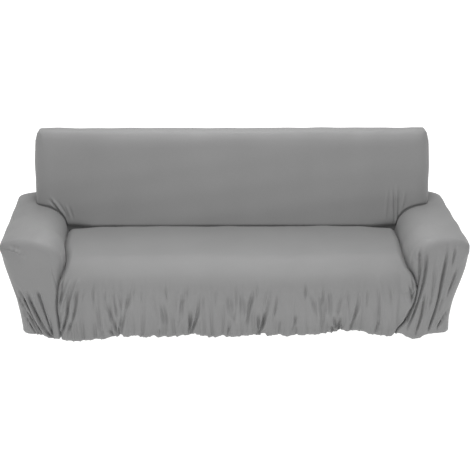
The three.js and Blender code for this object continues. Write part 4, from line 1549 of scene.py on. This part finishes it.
@dataclass(frozen=True)
class InsideBack(Piece):
    """The backrest's front, top and both ends in one piece.

    foot_step holds how far past an arm's inner edge the lower edge starts to rise onto the arm,
    and over what distance.
    """

    name: str = "back_cover"
    node: str = "inside_back"
    flat: tuple[float, float] = (2.04, 0.82)
    area: float = 1.4
    column: float = 4.6
    row: float = 7.5
    corner: int = 12
    lower_rows: int = 34
    end_steepness: float = 6.0
    folds: tuple[Fold, ...] = BACK_FOLDS
    foot_step: tuple[float, float] = (-2.0, 12.0)
    pull_from: float = 690.0
    pull_fade: float = 130.0
    pull_depth: float = 14.0
    pull_height: float = 36.0
    arm_pull: float = 8.0
    arm_pull_height: float = 14.0

    def foot(self, x: Array, y: Array | float) -> Array:
        """Lower edge: the tuck in the seat's crease, or behind an arm's arch.

        Args:
            x: Sideways places.
            y: Depths.

        Returns:
            Heights of the edge.
        """
        reach = np.abs(x)
        arms = [LEFT_ARM, RIGHT_ARM]
        heights = [arm.arch(SEAT, reach, y) - BACK.under_arm for arm in arms]
        inner = [float(arm.inner(SEAT, SEAT.crease)) for arm in arms]
        on_arm = np.where(x < 0, heights[0], heights[1])
        edge = np.where(x < 0, inner[0], inner[1])
        up = ease((reach - edge - self.foot_step[0]) / self.foot_step[1])
        return mix(SEAT.deck_back - BACK.tuck, on_arm, up)

    def columns(self, x: Array, turn: Array, section: dict[str, Array]) -> Array:
        """Lines up the cloth.

        Args:
            x: Places across the flat of the front face, or -1 and 1 for a corner.
            turn: Angle of each line round its corner, 0 on the front face.
            section: The section from the lowest level row to the rear seam.

        Returns:
            Rows from the lower edge to the rear seam, columns and the three coordinates.
        """
        c, s = np.cos(turn), np.sin(turn)
        corner = turn > 0
        side = np.sign(x)
        reach = np.where(corner, BACK.seam_half - BACK.corner_round * (1.0 - s), np.abs(x))
        depth = np.where(corner, SEAT.crease + BACK.corner_round, SEAT.crease)
        foot = self.foot(side * reach, depth)
        up = np.linspace(0.0, 1.0, self.lower_rows, endpoint=False)[:, None]
        low_z = mix(foot[None, :], BACK.level_row, up)
        rest = [section[key][:, None] + 0.0 * x for key in ("y", "z", "face_y", "face_z", "round")]
        z = np.concatenate([low_z, rest[1]])
        near = ease((np.abs(x) - self.pull_from) / self.pull_fade) * (1 - corner)
        pull = self.pull_depth * near * quarter(1.0 - (low_z - SEAT.deck_back) / self.pull_height)
        over_arm = low_z - foot[None, :] - BACK.under_arm
        pull = pull + self.arm_pull * c * quarter(1.0 - over_arm / self.arm_pull_height)
        y = np.concatenate([BACK.face(SEAT, 0.0, low_z) + pull, rest[0]])
        face_y = np.concatenate([0 * low_z - 1, rest[2]])
        face_z = np.concatenate([0 * low_z, rest[3]])
        full = np.concatenate([0 * low_z + 1, rest[4]])
        radius = mix(BACK.edge_round, BACK.corner_round, full)
        place = np.where(corner, side * (back_half(z) - radius * (1.0 - s)), x)
        inward = np.where(corner, radius * (1.0 - c), 0.0)
        seamwards = ease((z - BACK.seam_height) / (BACK.top - BACK.seam_height))
        lift = BACK.ear(place, z) * np.where(corner, c, 1.0)
        lift = lift * np.where(y > BACK.top_rear, seamwards, 1.0)
        return np.stack([place, y - face_y * inward, z - face_z * inward + lift], axis=2)

    def end(self, side: int, edge: Array, corner_row: int) -> Array:
        """An end wall, row by row from the arm up, from the front backwards.

        Args:
            side: -1 on the left and 1 on the right.
            edge: The line up its front corner and over the top.
            corner_row: Row of that line from which it is the wall's upper edge.

        Returns:
            Rows, columns and the three coordinates.
        """
        top = edge[corner_row:]
        rear_arm = ArmForm.rear - ArmForm.rear_roll
        foot = float(self.foot(np.array([side * BACK.seam_half]), rear_arm)[0])
        front = edge[:corner_row]
        z = mix(foot, BACK.seam_height, np.arange(corner_row) / corner_row)
        rear_y = rear_face(z) - BACK.edge_round
        across = (top[:, 1] - top[0, 1]) / (top[-1, 1] - top[0, 1])
        y = mix(front[:, 1:2], rear_y[:, None], across)
        height = mix(front[:, 2:3], z[:, None], across)
        x = mix(front[:, :1], side * back_half(height), ease(across * self.end_steepness))
        return np.concatenate([np.stack([x, y, height], axis=2), top[None]])

    def build(self) -> bpy.types.Object:
        """Lays out and welds the piece.

        Returns:
            The piece, still without its material.
        """
        section = BACK.section(SEAT, self.row)
        flat = between(-BACK.corner_start, BACK.corner_start, self.column)
        turn = np.linspace(0.0, math.pi / 2, self.corner + 1)[1:]
        x = np.concatenate([0 * turn - 1, flat, 0 * turn + 1])
        turns = np.concatenate([turn[::-1], 0 * flat, turn])
        lines = self.columns(x, turns, section)
        lines[:, :, 1] -= creased(self.folds, lines[:, :, 0], lines[:, :, 2])
        sheet = Sheet(self.name)
        sheet.add(lines)
        corner_row = self.lower_rows + int(np.argmax(section["round"] < 0.5))
        sheet.add(self.end(-1, lines[:, 0], corner_row)[:, ::-1])
        sheet.add(self.end(1, lines[:, -1], corner_row))
        return sheet.mesh(Ruffles(seed=1), Drift())


@dataclass(frozen=True)
class OutsideBack(Piece):
    """The rear panel, whose upper corners curl forward to the end walls."""

    name: str = "rear_panel"
    node: str = "outside_back"
    flat: tuple[float, float] = (1.98, 0.8)
    area: float = 1.56
    column: float = 9.0
    row: float = 10.0
    curl: int = 6
    curl_turn: float = 85.0
    curl_start: float = 478.0
    curl_fade: float = 26.0
    ruffles: Ruffles = Ruffles(seed=9)

    def build(self) -> bpy.types.Object:
        """Lays out and welds the piece.

        Returns:
            The piece, still without its material.
        """
        top = BACK.seam_height - SEAM
        low = float(rear_hem(0.0))
        up = between(0.0, 1.0, self.row / (top - low))[:, None]
        level = mix(low, top, up)
        half = back_half(level) - BACK.edge_round
        turn = np.linspace(math.radians(self.curl_turn), 0.0, self.curl, endpoint=False)
        curl = ease((level - self.curl_start) / self.curl_fade) * BACK.edge_round
        edge = half + BACK.edge_round * np.sin(turn)
        inward = curl * (1.0 - np.cos(turn))
        part = between(1.0, -1.0, self.column / BACK.seam_half)
        x = np.concatenate([edge, half * part, -edge[:, ::-1]], axis=1)
        sunk = np.concatenate([inward, 0 * half * part, inward[:, ::-1]], axis=1)
        z = mix(rear_hem(x), top, up)
        points = np.stack([x, rear_face(z) - sunk, z], axis=2)
        sheet = Sheet(self.name)
        sheet.add(points, z - rear_hem(x))
        return sheet.mesh(self.ruffles, Drift())


# ---------------------------------------------------------------- the cloth's finish
def fill(node: bpy.types.Node, values: dict[str, float | tuple[float, ...]]) -> None:
    """Sets a node's inputs by their names."""
    for name, value in values.items():
        node.inputs[name].default_value = value


@dataclass(frozen=True)
class Jersey:
    """Matt grey stretch jersey with a very fine plain knit.

    clouds and flecks each hold a noise's scale and detail, and tones the place and the strength of
    the darkest and of the lightest grey. wale and course are the sizes of one stitch.
    """

    slot: str = "jersey"
    colour: tuple[float, float, float] = (0.22, 0.22, 0.22)
    roughness: float = 0.55
    specular: float = 0.45
    sheen: float = 0.1
    sheen_roughness: float = 0.5
    clouds: tuple[float, float] = (3.5, 3.0)
    flecks: tuple[float, float] = (420.0, 2.0)
    fleck_share: float = 0.6
    tones: tuple[tuple[float, float], ...] = ((0.3, 0.93), (0.7, 1.07))
    wale: float = 1.7 * MM
    course: float = 1.25 * MM
    waver: float = 0.6
    relief: float = 0.3 * MM
    relief_strength: float = 0.25

    BANDS = 20.0  # a wave texture of scale 1 repeats every 2 pi / BANDS

    def material(self) -> bpy.types.Material:
        """Makes the material once and hands it out after that.

        Returns:
            The material that all five pieces share.
        """
        name = "grey_stretch_jersey"
        if name in bpy.data.materials:
            return bpy.data.materials[name]
        material = bpy.data.materials.new(name)
        material.use_nodes = True
        tree = material.node_tree
        shader = tree.nodes["Principled BSDF"]
        fill(shader, {"Roughness": self.roughness, "Specular IOR Level": self.specular})
        fill(shader, {"Sheen Weight": self.sheen, "Sheen Roughness": self.sheen_roughness})
        place = tree.nodes.new("ShaderNodeTexCoord")
        tree.links.new(self.tone(tree, place), shader.inputs["Base Color"])
        tree.links.new(self.knit(tree, place), shader.inputs["Normal"])
        return material

    def tone(self, tree: bpy.types.NodeTree, place: bpy.types.Node) -> bpy.types.NodeSocket:
        """Slightly uneven grey: soft clouds and fine flecks of the yarn.

        Args:
            tree: The material's nodes.
            place: The node that gives the place on the piece.

        Returns:
            The socket of the finished colour.
        """
        both = tree.nodes.new("ShaderNodeMix")
        both.data_type = "FLOAT"
        fill(both, {"Factor": self.fleck_share})
        for entry, (scale, detail) in (("A", self.clouds), ("B", self.flecks)):
            noise = tree.nodes.new("ShaderNodeTexNoise")
            fill(noise, {"Scale": scale, "Detail": detail})
            tree.links.new(place.outputs["Object"], noise.inputs["Vector"])
            tree.links.new(noise.outputs["Fac"], both.inputs[entry])
        ramp = tree.nodes.new("ShaderNodeValToRGB")
        for stop, (at, strength) in zip(ramp.color_ramp.elements, self.tones):
            stop.position = at
            stop.color = (*(strength * part for part in self.colour), 1.0)
        tree.links.new(both.outputs["Result"], ramp.inputs["Fac"])
        return ramp.outputs["Color"]

    def knit(self, tree: bpy.types.NodeTree, place: bpy.types.Node) -> bpy.types.NodeSocket:
        """The knit's wales and courses, as a low relief that follows the cloth.

        Args:
            tree: The material's nodes.
            place: The node that gives the place on the flat cloth.

        Returns:
            The socket of the finished relief.
        """
        both = tree.nodes.new("ShaderNodeMath")
        both.operation = "MULTIPLY"
        for entry, (way, pitch) in enumerate((("X", self.wale), ("Y", self.course))):
            wave = tree.nodes.new("ShaderNodeTexWave")
            wave.bands_direction = way
            scale = 2.0 * math.pi / (self.BANDS * pitch)
            fill(wave, {"Scale": scale, "Distortion": self.waver, "Detail": 0.0})
            tree.links.new(place.outputs["UV"], wave.inputs["Vector"])
            tree.links.new(wave.outputs["Fac"], both.inputs[entry])
        bump = tree.nodes.new("ShaderNodeBump")
        fill(bump, {"Strength": self.relief_strength, "Distance": self.relief})
        tree.links.new(both.outputs["Value"], bump.inputs["Height"])
        return bump.outputs["Normal"]


# ---------------------------------------------------------------- the studio
@dataclass(frozen=True)
class Lamp:
    """A soft square lamp: its place, the point that it faces and its size in metres, and watts."""

    name: str
    at: tuple[float, float, float]
    aim: tuple[float, float, float]
    size: float
    power: float

    def hang(self) -> None:
        """Hangs the lamp."""
        data = bpy.data.lights.new(self.name, "AREA")
        data.shape = "SQUARE"
        data.size = self.size
        data.energy = self.power
        lamp = bpy.data.objects.new(self.name, data)
        lamp.location = self.at
        away = np.subtract(self.at, self.aim)
        tilt = math.acos(away[2] / np.linalg.norm(away))
        lamp.rotation_euler = (tilt, 0.0, math.atan2(away[0], -away[1]))
        bpy.context.scene.collection.objects.link(lamp)


@dataclass(frozen=True)
class Studio:
    """Camera, pale floor and soft light. The camera's place is in the sofa's frame."""

    camera_at: tuple[float, float, float] = (-28.5, -5275.0, 2256.6)
    pitch: float = 17.918
    yaw: float = 0.41
    lens: float = 92.0
    sensor: float = 36.0
    sight: float = 200.0
    floor_size: float = 60.0
    floor_grey: float = 0.25
    floor_roughness: float = 0.9
    floor_specular: float = 0.1
    floor_glow: float = 1.1
    sky: float = 0.52
    lamps: tuple[Lamp, ...] = (
        Lamp("front", at=(0.0, -2.4, 2.3), aim=(0.0, -0.4, 0.3), size=0.8, power=15.0),
        Lamp("high", at=(0.0, -0.8, 4.5), aim=(0.0, -0.2, 0.4), size=1.2, power=68.0),
        Lamp("rear", at=(0.0, 2.5, 4.0), aim=(0.0, 0.0, 0.4), size=3.0, power=84.0),
    )

    def camera(self) -> None:
        """Puts up the camera."""
        data = bpy.data.cameras.new("studio_camera")
        data.lens = self.lens
        data.sensor_width = self.sensor
        data.clip_end = self.sight
        camera = bpy.data.objects.new("studio_camera", data)
        camera.location = into_frame(self.camera_at)
        camera.rotation_euler = (math.radians(90.0 - self.pitch), 0.0, math.radians(-self.yaw))
        bpy.context.scene.collection.objects.link(camera)
        bpy.context.scene.camera = camera

    def floor(self) -> None:
        """Lays the plain pale floor."""
        bpy.ops.mesh.primitive_plane_add(size=self.floor_size, location=(0.0, 0.0, 0.0))
        floor = bpy.context.object
        floor.name = "studio_floor"
        material = bpy.data.materials.new("pale_floor")
        material.use_nodes = True
        shader = material.node_tree.nodes["Principled BSDF"]
        grey = self.floor_grey
        fill(shader, {"Base Color": (grey, grey, grey, 1.0)})
        fill(shader, {"Roughness": self.floor_roughness, "Specular IOR Level": self.floor_specular})
        fill(shader, {"Emission Color": WHITE, "Emission Strength": self.floor_glow})
        floor.data.materials.append(material)
        floor.select_set(False)

    def light(self) -> None:
        """Sets the white surroundings and the soft lamps."""
        world = bpy.data.worlds.new("studio_white")
        world.use_nodes = True
        fill(world.node_tree.nodes["Background"], {"Color": WHITE, "Strength": self.sky})
        bpy.context.scene.world = world
        bpy.context.scene.view_settings.view_transform = "Standard"
        for lamp in self.lamps:
            lamp.hang()


def main() -> None:
    """Builds the studio and the cover's five pieces."""
    logging.basicConfig(level=logging.INFO, format="%(name)s: %(message)s")
    bpy.ops.object.select_all(action="DESELECT")
    studio = Studio()
    studio.camera()
    studio.floor()
    studio.light()
    jersey = Jersey()
    pieces: list[Piece] = [
        SeatCover(),
        ArmCover("left_arm_cover", "arm_left", LEFT_ARM, LEFT_ARM_FOLDS, Ruffles(seed=21)),
        ArmCover("right_arm_cover", "arm_right", RIGHT_ARM, RIGHT_ARM_FOLDS, Ruffles(seed=22)),
        InsideBack(),
        OutsideBack(),
    ]
    for piece in pieces:
        piece.finish(jersey)


if __name__ == "__main__":
    main()
